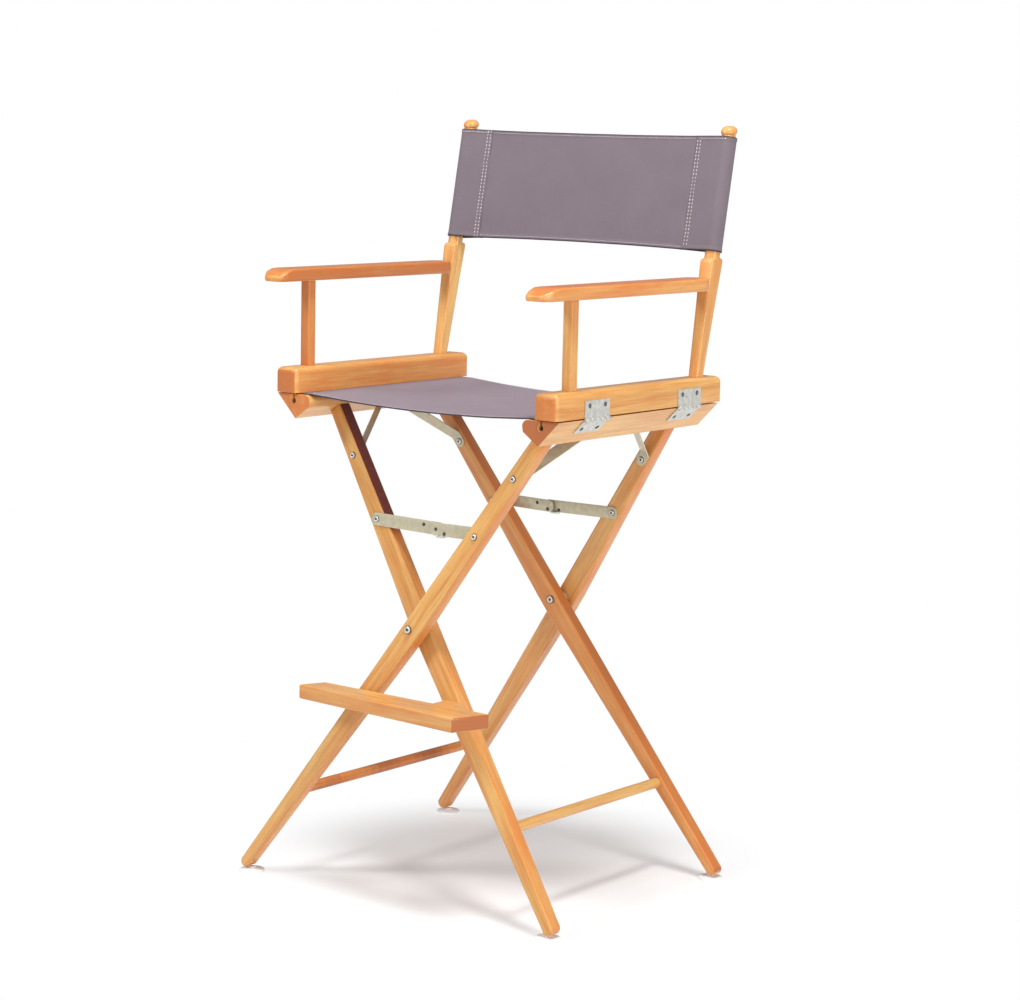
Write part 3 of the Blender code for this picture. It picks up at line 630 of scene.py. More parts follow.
arm_rear = back_post_y + back_lean * (arm_bottom - upper_top) - 0.0158
for word, side in chair_sides:
    stations, inset = eased_ends(arm_front, arm_rear, 0.003, 5)
    fill = np.linspace(stations[5], stations[6], 40)[1:-1]
    stations = np.concatenate([stations[:6], fill, stations[6:]])
    inset = np.concatenate([inset[:6], 0 * fill, inset[6:]])
    from_front, from_rear = stations - arm_front, arm_rear - stations
    clip_out = np.clip(1 - from_front / 0.012, 0, 1) * 0.010
    clip_in = np.clip(1 - from_front / 0.008, 0, 1) * 0.005
    clip_rear = np.clip(1 - from_rear / 0.014, 0, 1) * 0.011
    slope = np.clip(1 - from_front / 0.026, 0, 1) ** 1.3 * 0.0105
    out_half = arm_half - inset - clip_out - clip_rear
    in_half = arm_half - inset - clip_in - clip_rear
    centre = side * post_x
    left, right = (in_half, out_half) if side > 0 else (out_half, in_half)
    low, high = arm_bottom + inset * 0.6, arm_top - inset - slope
    ease = np.minimum(0.0035, 0.45 * (high - low))
    outline = board_section(centre - left, centre + right, low, high, ease, 5)
    y = np.broadcast_to(stations[:, None] + middle_y, outline.shape[:2])
    armrest = skin(f"wood_armrest_{word}", np.stack([outline[..., 0], y, outline[..., 1]], -1))
    # The top share and the right share are painted shade on the tops and on the right edges.
    finish_wood(armrest, (0, 1, 0), f"{word}_arm", f"armrest_{word}", 0.35, 0.5, top=0.85,
                right=0.3 if side > 0 else 0.9)


# ---- Footrest ------------------------------------------------------------------------------------
# A 22 mm beech board screwed to the front faces of the outer frame's leg and of its spacer. It grows
# deeper towards its right end, and both its ends are cut on the slant.

tread_top, tread_thick = 0.313, 0.022
rear_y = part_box("footrest_board")[1].y - middle_y
front_left, front_right = np.array([-0.166, -0.2555]), np.array([0.146, -0.2735])
rear_right, rear_left = np.array([0.168, rear_y]), np.array([-0.148, rear_y])
plan = np.stack([front_left, front_right, rear_right, rear_left])
loops = np.stack([np.concatenate([plan + (0, middle_y), np.full((4, 1), z)], 1)
                  for z in (tread_top - tread_thick, tread_top)])
footrest = skin("wood_footrest", loops)
ease_edges(footrest, 0.0028)
# The negative top share is painted light: it lightens the board's top.
finish_wood(footrest, (1, -0.05, 0), "outer_frame", "footrest_board", 0.4, 1.4, top=-0.3)

# The spacer is a plain offcut of the same beech, so the frame's own block takes an unlacquered finish.
beech_offcut, bench, shader = new_finish("beech_offcut")
turned_place = bench.put("Mapping", {"Vector": bench.put("TexCoord").outputs["Object"]})
turned_place.inputs["Rotation"].default_value = (0, 0, math.pi / 2)
wood = bench.put("Group", {
    "Place": turned_place.outputs["Vector"],
    "Light": (0.80, 0.42, 0.15, 1),
    "Dark": (0.62, 0.28, 0.08, 1),
}, node_tree=figure)
bench.feed(shader.inputs["Base Color"], wood.outputs["Color"])
bench.feed(shader.inputs["Roughness"], wood.outputs["Roughness"])
nodes["footrest_spacer"].data.materials.clear()
nodes["footrest_spacer"].data.materials.append(beech_offcut)


# ---- Steel fittings ------------------------------------------------------------------------------
# Corner braces, lock braces and pivot spacers are zinc plated, and bolts are brighter. The butt hinges
# are galvanised plate, and screws with a cross recess hold their leaves.

plating, plating_in, plating_out = node_group(
    "plated_steel",
    [("Place", "Vector", None), ("Bright", "Color", (0.8, 0.8, 0.78, 1)),
     ("Dull", "Color", (0.5, 0.5, 0.48, 1))],
    [("Color", "Color"), ("Roughness", "Float"), ("Height", "Float")],
)
bench = Bench(plating)
place = plating_in.outputs["Place"]
spangle = bench.put("TexVoronoi", {"Vector": place, "Scale": 260.0}, feature="F1")
patches = bench.noise(place, 130.0, 3.0, 0.6)
scuffs = bench.noise(bench.vector("MULTIPLY", place, (90.0, 900.0, 900.0)), 1.0, 2.0, 0.6)
dulling = bench.math("ADD", bench.math("MULTIPLY", bench.spread(patches, 0.38, 0.66), 0.6),
                     bench.math("MULTIPLY", spangle.outputs["Color"], 0.25), clamp=True)
scuffed = bench.math("ADD", patches, bench.math("MULTIPLY", scuffs, 0.5))
bench.feed(plating_out.inputs["Color"],
           bench.mix(dulling, plating_in.outputs["Bright"], plating_in.outputs["Dull"]))
bench.feed(plating_out.inputs["Roughness"], bench.spread(scuffed, 0.4, 1.1, 0.3, 0.55))
bench.feed(plating_out.inputs["Height"], bench.math("ADD", bench.math("MULTIPLY", scuffs, 0.4), patches))


def plated(name, bright, dull, metallic):
    """A plated finish in two colours on Object coordinates."""
    finish, bench, shader = new_finish(name)
    place = bench.put("TexCoord").outputs["Object"]
    metal = bench.put("Group", {"Place": place, "Bright": bright, "Dull": dull}, node_tree=plating)
    bench.coat(shader, metal.outputs["Color"], metal.outputs["Roughness"], metal.outputs["Height"],
               0.12, 0.0002)
    shader.inputs["Metallic"].default_value = metallic
    return finish


zinc = plated("zinc_strip", (0.66, 0.61, 0.44, 1), (0.50, 0.46, 0.33, 1), 0.35)
galvanised = plated("galvanised_plate", (0.72, 0.71, 0.66, 1), (0.44, 0.455, 0.43, 1), 0.45)
# Dark steel for screw heads and rivets; the bolts and hinge barrels also use it as painted shade in
# sockets, rims and the gaps between knuckles.
dark_steel_and_shade = plated("screw_steel_and_shade", (0.10, 0.10, 0.11, 1), (0.04, 0.04, 0.05, 1), 0.6)
bright_steel = plated("rivet_steel", (0.88, 0.86, 0.80, 1), (0.62, 0.60, 0.54, 1), 0.8)

for name, node in nodes.items():
    if name.startswith(("corner_brace", "pivot_spacer")):
        node.data.materials.clear()
        node.data.materials.append(zinc)
    elif name.startswith("hinge"):
        node.data.materials.clear()
        node.data.materials.append(galvanised)


def screw_heads(name, places, normals, radius, dome, body, metal, recess=True):
    """Low domed heads in one piece, each a polar grid: the height is dome times (1 - r squared), less a
    cross recess where the nearer of the two axes is within a sixth of the radius, and a skirt under it.
    """
    rings, around = 9, 24
    r = np.concatenate([[1.0], np.linspace(1.0, 0.06, rings)])[:, None]
    turn = full_turn(around)[None, :]
    u, v = r * np.cos(turn), r * np.sin(turn)
    height = dome * (1 - r ** 2) + 0 * turn
    cross_half, cross_reach = 0.17, 0.72
    cross = (np.minimum(abs(u), abs(v)) < cross_half) & (r < cross_reach)
    height = height - np.where(cross & recess, dome * 0.75 + 0.0002, 0)
    height[0] = -0.0004
    head = np.stack([u * radius, v * radius, height], -1).reshape(-1, 3)
    quads = ring_quads(rings + 1, around)
    count = len(head)
    points, faces = [], []
    for number, (place, normal) in enumerate(zip(places, normals)):
        turned = np.array(Vector(normal).to_track_quat("Z", "Y").to_matrix()) @ np.array(
            Matrix.Rotation(0.5 + 1.1 * number, 3, "Z"))
        points.append(head @ turned.T + np.array(place))
        faces += (quads + number * count).tolist()
        faces.append(list(range(number * count + rings * around, number * count + (rings + 1) * around)))
        faces.append(list(range(number * count, number * count + around))[::-1])
    piece = closed_piece(name, np.concatenate(points), faces, 35)
    piece.data.materials.append(metal)
    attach(piece, body)
    return piece


# Bolts: at each end a plated ring round a socket, sunk in a rim, on a plain shank; socket and rim are
# painted dark as the shade in the hole and in the gap round the head. Each row is a radius, a depth from
# the bolt's end, and 1 where the next band is painted shade.
head_profile = np.array([
    (0.0003, 0.0011, 1), (0.0016, 0.0011, 1), (0.0019, 0.0003, 0), (0.0028, 0.0000, 0), (0.0037, 0.0003, 0),
    (0.0043, 0.0010, 1), (0.0045, 0.0015, 1), (0.0050, 0.0019, 1), (0.0049, 0.0028, 0), (0.0020, 0.0029, 0),
])
bolt_sides, pivot_bolt_scale = 32, 1.25
for name, node in nodes.items():
    if "_bolt_" not in name:
        continue
    low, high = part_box(name)
    scale = pivot_bolt_scale if name.startswith("pivot") else 1.0
    turn = full_turn(bolt_sides)[None, :]
    radius = np.concatenate([head_profile[:, 0], head_profile[::-1, 0]])[:, None] * scale
    distance = np.concatenate([low.y + head_profile[:, 1], high.y - head_profile[::-1, 1]])[:, None]
    plane_lean = LEAN if low.y < middle_y else -LEAN
    up = radius * np.sin(turn)
    loops = np.stack([(low.x + high.x) / 2 + radius * np.cos(turn), distance + plane_lean * up,
                      (low.z + high.z) / 2 + up], -1)
    bolt = skin(f"steel_{name}", loops, 50)
    bolt.data.materials.append(bright_steel)
    bolt.data.materials.append(dark_steel_and_shade)
    # Bands marked 1 take the dark steel as painted shade.
    shade_rows = np.concatenate([head_profile[:-1, 2], [0], head_profile[-2::-1, 2]])
    paint = np.concatenate([np.repeat(shade_rows, bolt_sides), [0, 0]]).astype(np.int32)
    bolt.data.polygons.foreach_set("material_index", paint)
    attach(bolt, node["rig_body"])
    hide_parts(name)

# Lock braces: two straps at the front and two at the rear, each pair riveted together at mid span. The
# outer frame's straps carry a stop tab on their upper edge.
lock_x, lock_z, lock_middle_x, lock_middle_z = 0.1058, 0.559, 0.014, 0.5575
lock_half, strap_thick, link_gap = 0.0095, 0.0018, 0.0004
strap_past, strap_round = 0.0092, 0.0070
rivet_r, rivet_dome = 0.0030, 0.0012
tab_reach, tab_half, tab_short, tab_long = 0.006, 0.0014, 0.0022, 0.0060
for word, (side, end, y_pivot) in legs.items():
    outer = word.startswith("outer")
    gap_way = (1 if outer else -1) * -end
    near = y_pivot + gap_way * (leg_thick / 2 + link_gap)
    far = near + gap_way * strap_thick
    start = np.array([side * lock_x, lock_z])
    finish = np.array([-end * lock_middle_x, lock_middle_z])
    span = float(np.linalg.norm(finish - start))
    along = (finish - start) / span
    upright = np.array([-along[1], along[0]])
    stations, inset = eased_ends(-strap_past, span + strap_past, strap_round, 8)
    low, high = min(near, far), max(near, far)
    outline = board_section(low, high, -(lock_half - inset), lock_half - inset, 0.0004, 2)
    place_xz = start + stations[:, None, None] * along + outline[..., 1, None] * upright
    y = outline[..., 0] - end * LEAN * (place_xz[..., 1] - PIVOT_Z) + middle_y
    strap = skin(f"steel_lock_strap_{word}", np.stack([place_xz[..., 0], y, place_xz[..., 1]], -1), 30)
    strap.data.materials.append(zinc)
    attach(strap, f"lock_{word}")
    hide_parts(f"lock_link_{word}")
    marks = [0.77 * span, span - 0.001] if not outer else [span - 0.0005, span - 0.017]
    drops = [0.003, -0.005] if not outer else [0.0, 0.0055]
    dots, looks = [], []
    for distance, drop in zip(marks, drops):
        spot = start + distance * along + drop * upright
        for y_face, way in ((low, -1), (high, 1)):
            dots.append((spot[0], y_face - end * LEAN * (spot[1] - PIVOT_Z) + middle_y, spot[1]))
            looks.append((0, way, 0))
    screw_heads(f"rivets_lock_{word}", dots, looks, rivet_r, rivet_dome, f"lock_{word}",
                dark_steel_and_shade, False)
    if outer:
        spot = start + (span - 0.010) * along + (lock_half + 0.0008) * upright
        reach = np.array([-tab_reach, tab_reach])
        before, behind = (tab_short, tab_long) if gap_way > 0 else (tab_long, tab_short)
        tab = board_section(low - before, high + behind, [-tab_half, -tab_half], [tab_half, tab_half],
                            0.0005, 2)
        tab_xz = spot + reach[:, None, None] * along + tab[..., 1, None] * upright
        y = tab[..., 0] - end * LEAN * (tab_xz[..., 1] - PIVOT_Z) + middle_y
        stop = skin(f"steel_lock_stop_{word}", np.stack([tab_xz[..., 0], y, tab_xz[..., 1]], -1), 30)
        stop.data.materials.append(bright_steel)
        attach(stop, f"lock_{word}")

# Hinge barrels: five rolled knuckles on the pin's axis, the joints between them painted dark as the
# shade in the gaps.
barrel_x, barrel_z, barrel_r, leaf_length = 0.2706, 0.739, 0.0029, 0.058
barrel_sides, knuckles = 20, 5
knuckle = leaf_length / knuckles
knuckle_profile = [(0.0006, 0.0018), (0.0007, 0.0025), (0.0012, barrel_r)]
knuckle_profile += [(knuckle - step, radius) for step, radius in knuckle_profile[::-1]]
for word, side in chair_sides:
    for place_word in ("front", "rear"):
        low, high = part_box(f"hinge_pin_{word}_{place_word}")
        barrel_y = (low.y + high.y) / 2
        steps, radii, paint = [low.y], [0.0010], [0]
        for number in range(knuckles):
            start_y = barrel_y - leaf_length / 2 + number * knuckle
            for offset, radius in knuckle_profile:
                steps.append(start_y + offset)
                radii.append(radius)
                paint.append(0)
            paint[-1] = 1
        steps += [high.y - 0.0004, high.y]
        radii += [0.0020, 0.0012]
        turn = full_turn(barrel_sides)[None, :]
        y, radius = np.array(steps)[:, None], np.array(radii)[:, None]
        loops = np.stack([side * barrel_x + radius * np.cos(turn), y + 0 * turn,
                          barrel_z + radius * np.sin(turn)], -1)
        barrel = skin(f"steel_hinge_barrel_{word}_{place_word}", loops, 50)
        barrel.data.materials.append(galvanised)
        barrel.data.materials.append(dark_steel_and_shade)
        # Rows marked 1 take the dark steel: painted shade in the gaps between knuckles.
        rows = np.array(paint + [0])[:len(steps) - 1]
        paint = np.concatenate([np.repeat(rows, barrel_sides), [0, 0]]).astype(np.int32)
        barrel.data.polygons.foreach_set("material_index", paint)
        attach(barrel, f"{word}_arm")
        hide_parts(f"hinge_pin_{word}_{place_word}")

# Hinge leaves: two screws each, on the rail's upright face and on its slanted one.
hinge_z, leaf_thick, leaf_gap = 0.739, 0.0015, 0.0003
slant = np.array([tip_x - rail_outer, 0, tip_z - lower_top])
slant /= np.linalg.norm(slant)
slant_normal = np.array([-slant[2], 0, slant[0]])
leaf_screws, upper_screw_rise, lower_screw_drop = (-0.0185, 0.0185), 0.0205, 0.019
leaf_screw_r, leaf_screw_dome = 0.0036, 0.0011
for word, side, body in frame_sides:
    upper_places, lower_places = [], []
    for place_word in ("front", "rear"):
        leaf_low, leaf_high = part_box(f"hinge_upper_{word}_{place_word}")
        hinge_y = (leaf_low.y + leaf_high.y) / 2
        for offset in leaf_screws:
            face_x = rail_outer + leaf_gap + leaf_thick
            upper_places.append((side * face_x, hinge_y + offset, hinge_z + upper_screw_rise))
            down = (np.array([rail_outer, 0, lower_top]) + slant * lower_screw_drop
                    + slant_normal * (leaf_gap + leaf_thick) + (0, hinge_y + offset, 0))
            lower_places.append(down * (side, 1, 1))
    screw_heads(f"screws_upper_leaf_{word}", upper_places, [(side, 0, 0)] * 4, leaf_screw_r,
                leaf_screw_dome, f"{word}_arm", dark_steel_and_shade)
    screw_heads(f"screws_lower_leaf_{word}", lower_places, [tuple(slant_normal * (side, 1, 1))] * 4,
                leaf_screw_r, leaf_screw_dome, body, dark_steel_and_shade)


# ---- Glides --------------------------------------------------------------------------------------
# A moulded white disc under each foot, on a short stem that lets it sit flat.

nylon, bench, shader = new_finish("white_nylon")
mottling = bench.noise(bench.put("TexCoord").outputs["Object"], 90.0, 3.0, 0.6)
nylon_colour = bench.mix(bench.spread(mottling, 0.35, 0.7), (0.97, 0.98, 1.0, 1), (0.88, 0.89, 0.92, 1))
bench.coat(shader, nylon_colour, bench.spread(mottling, 0.3, 0.7, 0.35, 0.5), mottling, 0.05, 0.0003)
glide_profile = np.array([
    (0.0165, 0.0), (0.0185, 0.0002), (0.0194, 0.0008), (0.0195, 0.0014), (0.0191, 0.0024), (0.0180, 0.0033),
    (0.0150, 0.0040), (0.0110, 0.0046), (0.0075, 0.0050), (0.0056, 0.0056), (0.0048, 0.0064),
    (0.0046, foot_z - foot_r - 0.0003),
])
for word in legs:
    glide_low, glide_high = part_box(f"glide_{word}")
    turn = full_turn(48)[None, :]
    radius, rise = glide_profile[:, 0, None], glide_profile[:, 1, None]
    loops = np.stack([(glide_low.x + glide_high.x) / 2 + radius * np.cos(turn),
                      (glide_low.y + glide_high.y) / 2 + radius * np.sin(turn), rise + 0 * turn], -1)
    glide = skin(f"foot_glide_{word}", loops, 50)
    glide.data.materials.append(nylon)
    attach(glide, f"glide_{word}_body")
    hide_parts(f"glide_{word}")


# ---- Back cloth ----------------------------------------------------------------------------------
# Plain woven cotton canvas. Each end is folded back round its post and sewn down with two rows of
# pale thread, and the long edges are hemmed. The sleeves go with the arms; the panel spans them.

weave, weave_in, weave_out = node_group(
    "plain_weave",
    [("Thread", "Vector", None), ("Warp", "Color", (0.3, 0.25, 0.28, 1)),
     ("Weft", "Color", (0.25, 0.2, 0.23, 1))],
    [("Color", "Color"), ("Roughness", "Float"), ("Height", "Float")],
)
bench = Bench(weave)
thread_place = weave_in.outputs["Thread"]
split = bench.put("SeparateXYZ", {"Vector": thread_place})
thread_pitch = 0.00062
warp = bench.math("SINE", bench.math("MULTIPLY", split.outputs["X"], math.pi / thread_pitch))
weft = bench.math("SINE", bench.math("MULTIPLY", split.outputs["Y"], math.pi / thread_pitch))
over = bench.spread(bench.math("MULTIPLY", warp, weft), -0.25, 0.25)
warp_high = bench.math("MULTIPLY", bench.math("ABSOLUTE", warp), over)
under = bench.math("SUBTRACT", 1.0, over)
weft_high = bench.math("MULTIPLY", bench.math("ABSOLUTE", weft), under)
slub_x = bench.noise(bench.vector("MULTIPLY", thread_place, (60.0, 1500.0, 1.0)), 1.0, 2.0, 0.6)
slub_y = bench.noise(bench.vector("MULTIPLY", thread_place, (1500.0, 60.0, 1.0)), 1.0, 2.0, 0.6)
slub = bench.math("ADD", bench.math("MULTIPLY", slub_x, over), bench.math("MULTIPLY", slub_y, under))
fading = bench.noise(thread_place, 14.0, 3.0, 0.55)
yarn = bench.mix(over, weave_in.outputs["Weft"], weave_in.outputs["Warp"])
tone = bench.math("MULTIPLY", bench.spread(slub, 0.3, 0.7, 0.92, 1.07),
                  bench.spread(fading, 0.3, 0.7, 0.96, 1.04))
toned = bench.put("VectorMath", {0: yarn, "Scale": tone}, operation="SCALE")
crowns = bench.math("MAXIMUM", warp_high, weft_high)
bench.feed(weave_out.inputs["Color"], toned.outputs[0])
bench.feed(weave_out.inputs["Roughness"], bench.spread(slub, 0.3, 0.7, 0.82, 0.95))
bench.feed(weave_out.inputs["Height"], bench.math("ADD", crowns, bench.math("MULTIPLY", slub, 0.5)))


def canvas_finish(name, warp, weft, edge):
    """Woven canvas in two yarn colours, on the piece's own UV map in metres of cloth. The last two
    millimetres before a hemmed edge are painted nearly black as shade along the hem; edge is how far
    that lies from the cloth's middle.
    """
    finish, bench, shader = new_finish(name)
    thread = bench.put("UVMap", uv_map="thread")
    yarns = {"Thread": thread.outputs["UV"], "Warp": warp, "Weft": weft}
    cloth = bench.put("Group", yarns, node_tree=weave)
    across = bench.put("SeparateXYZ", {"Vector": thread.outputs["UV"]}).outputs["Y"]
    # Painted shade: a nearly black line along each hemmed edge.
    hem_edge_shade = bench.spread(bench.math("ABSOLUTE", across), edge - 0.0024, edge - 0.0012, 0.0, 0.9)
    hem_shaded = bench.mix(hem_edge_shade, cloth.outputs["Color"], (0.03, 0.02, 0.025, 1))
    bench.coat(shader, hem_shaded, cloth.outputs["Roughness"], cloth.outputs["Height"], 0.35, 0.0002)
    shader.inputs["Sheen Weight"].default_value = 0.12
    shader.inputs["Sheen Roughness"].default_value = 0.6
    shader.inputs["Specular IOR Level"].default_value = 0.2
    return finish


cotton, bench, shader = new_finish("sewing_thread")
fuzz = bench.noise(bench.put("TexCoord").outputs["Object"], 900.0, 2.0, 0.6)
cotton_colour = bench.mix(fuzz, (0.95, 0.88, 0.93, 1), (0.80, 0.72, 0.78, 1))
bench.feed(shader.inputs["Base Color"], cotton_colour)
shader.inputs["Roughness"].default_value = 0.8

cloth_thick = 0.0011


def hem_levels(half_width, hem, fine=5):
    """Places across a hemmed cloth from one edge to the other, and the half thickness at each: the
    hem is two layers thick with a rolled edge, and steps down to one layer at its row of stitches.
    """
    roll = np.sin(np.linspace(0, np.pi / 2, fine))
    edge = half_width - 0.0011 * (1 - roll)
    lip = np.array([hem - 0.003, hem - 0.0005, hem + 0.0008])
    inner = half_width - lip
    middle = np.linspace(-(half_width - hem - 0.004), half_width - hem - 0.004, 41)
    places = np.concatenate([-edge[::-1], -inner, middle, inner[::-1], edge])
    single, double = cloth_thick / 2, cloth_thick * 0.98
    rolled = double * np.sqrt(np.clip(1 - (roll * 0.97) ** 2, 0.02, 1))
    thickness = np.concatenate([rolled[::-1], [double, double * 0.95, single], np.full(41, single),
                                [single, double * 0.95, double], rolled])
    return places, thickness


def lay_threads(piece, flat):
    """Gives the piece its UV map, in metres of cloth: flat holds each point's place on the flat cloth."""
    mesh = piece.data
    corner = np.empty(len(mesh.loops), np.int32)
    mesh.loops.foreach_get("vertex_index", corner)
    mesh.uv_layers.new(name="thread").data.foreach_set("uv", flat[corner].ravel())


def cloth_skin(name, centre, normal, half, thread, material):
    """A closed sheet: the centre surface, (along, across, 3), moved out both ways by half along its
    normals, with the rims closed. thread gives each point's place on the flat cloth, in metres.
    """
    along, across, _ = centre.shape
    front, back = centre + normal * half[..., None], centre - normal * half[..., None]
    loops = np.concatenate([front, back[:, ::-1]], 1)
    around = 2 * across
    k = np.arange(across - 1)
    rim = np.stack([k, around - 1 - k, around - 2 - k, k + 1], 1)
    last = (along - 1) * around
    faces = np.concatenate([ring_quads(along, around), rim, rim[:, ::-1] + last]).tolist()
    piece = closed_piece(name, loops.reshape(-1, 3), faces)
    lay_threads(piece, np.concatenate([thread, thread[:, ::-1]], 1).reshape(-1, 2))
    piece.data.materials.append(material)
    return piece


def sew(name, places, directions, normals, length=0.0031, width=0.0011):
    """Rows of stitches as one piece: each is a small spindle, a six-sided ring grid whose radius is
    width times the square root of (1 - t squared) along its length, sunk halfway into the cloth.
    """
    around = 6
    t = np.array([-1.0, -0.75, 0.0, 0.75, 1.0])[:, None]
    turn = full_turn(around)[None, :]
    swell = np.sqrt(np.clip(1 - t ** 2, 0.05, 1)) * width / 2
    spindle = np.stack([t * length / 2 + 0 * turn, swell * np.cos(turn), swell * np.sin(turn)], -1)
    spindle = spindle.reshape(-1, 3)
    quads = ring_quads(len(t), around)
    directions = directions / np.linalg.norm(directions, axis=1, keepdims=True)
    normals = normals / np.linalg.norm(normals, axis=1, keepdims=True)
    sideways = np.cross(normals, directions)
    frames = np.stack([directions, sideways, normals], 1)
    points = np.einsum("pk,nkc->npc", spindle, frames) + places[:, None, :]
    count = len(spindle)
    starts = np.arange(len(places)) * count
    faces = (quads[None] + starts[:, None, None]).reshape(-1, 4).tolist()
    ends = np.stack([np.arange(around)[::-1], np.arange(count - around, count)])
    faces += (ends[None] + starts[:, None, None]).reshape(-1, around).tolist()
    piece = closed_piece(name, points.reshape(-1, 3), faces)
    piece.data.materials.append(cotton)
    return piece


def sew_hems(name, surface, end, half_width, hem, toward, lift):
    """Fine stitches along both hems of a panel, whose two rows run from -end to end. surface gives the
    place of a point along and across the cloth, and lift raises the thread to the side of toward.
    """
    along = np.tile(np.arange(-end, end + 0.001, stitch_pitch), 2)
    across = np.repeat([1, -1], len(along) // 2) * (half_width - hem + hem_stitch_in)
    places = surface(along, across) + np.array(toward) * lift
    directions = surface(along + 0.001, across) - surface(along - 0.001, across)
    return sew(name, places, directions, np.tile(toward, (len(along), 1)), 0.0022, 0.0008)


back_low = 0.966
lean_turn = math.atan(back_lean)
back_up = np.array([0, math.sin(lean_turn), math.cos(lean_turn)])
back_front = np.array([0, -math.cos(lean_turn), math.sin(lean_turn)])
back_middle_z = (back_low + back_high) / 2
back_middle = np.array([0, back_post_y + back_lean * (back_middle_z - upper_top) + middle_y, back_middle_z])
back_half = (back_high - back_low) / 2 / math.cos(lean_turn)
back_hem = 0.0055
seam_x, seam_step, panel_depth = 0.2000, 0.0056, 0.0050
sleeve_r = 0.0128
panel_end = seam_x - 0.003
stitch_pitch, hem_stitch_in = 0.0044, 0.0012

levels, level_half = hem_levels(back_half, back_hem)
# The back's yarn colours are darker than the seat's as painted shade; both are the same canvas.
canvas = canvas_finish("mauve_canvas", (0.200, 0.161, 0.188, 1), (0.164, 0.131, 0.154, 1), back_half)


def back_panel(x, v):
    """A point of the panel's middle surface. It bows back 3 mm at mid span, its long edges draw in by
    2% there, and shallow pull wrinkles run in from the seams and die out.
    """
    span = np.clip(1 - (x / panel_end) ** 2, 0, 1)
    height = v * (1 - 0.020 * span) + 0.0010 * span
    from_seam = panel_end - abs(x)
    pull = 0.0007 * np.sin(v * 95 + 1.3 * np.sign(x)) * np.exp(-from_seam / 0.035) * (1 - span ** 2)
    waves = 0.0006 * np.sin(x * 23 + v * 31) * span + 0.0004 * np.sin(x * 61 - v * 17 + 1) * span
    depth = panel_depth - 0.003 * span + 0.0012 * np.exp(-from_seam / 0.012) + pull + waves
    return (back_middle + x[..., None] * (1, 0, 0) + height[..., None] * back_up
            + depth[..., None] * back_front)


def surface_normals(centre, toward):
    """Unit normals of a grid surface from its two directions, turned to the side that toward is on."""
    normal = np.cross(np.gradient(centre, axis=0), np.gradient(centre, axis=1))
    normal /= np.linalg.norm(normal, axis=2, keepdims=True)
    return normal * np.sign((normal @ np.asarray(toward, float)).mean())


x = np.linspace(-panel_end, panel_end, 161)[:, None] + 0 * levels[None, :]
v = levels[None, :] + 0 * x
centre = back_panel(x, v)
normal = surface_normals(centre, back_front)
panel = cloth_skin("canvas_back_panel", centre, normal, np.broadcast_to(level_half, x.shape),
                   np.stack([x, v], 2), canvas)
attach(panel, "back_sling")
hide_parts("back_cloth")

hem_stitches = sew_hems("stitches_back_hems", back_panel, panel_end - 0.003, back_half, back_hem,
                        back_front, 0.0010)
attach(hem_stitches, "back_sling")

for piece in (panel, hem_stitches):
    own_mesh(piece)

reach_back = math.hypot(post_x - seam_x, panel_depth)
swing = math.atan2(panel_depth, post_x - seam_x)
tangent = math.acos(sleeve_r / reach_back)
sleeve_turn = np.linspace(-(math.pi - tangent) - swing, math.pi - tangent - swing, 41)
sleeve_arc = np.stack([post_x + sleeve_r * np.cos(sleeve_turn), sleeve_r * np.sin(sleeve_turn)], 1)
flap_start = np.array([(panel_end - 0.006, panel_depth - 0.0016), (seam_x, panel_depth - 0.0016)])
front_run = np.array([(seam_x, panel_depth + 0.0018), (panel_end, panel_depth + 0.0012)])


def run(first, last, count):
    return first + (last - first) * np.linspace(0, 1, count)[:, None]


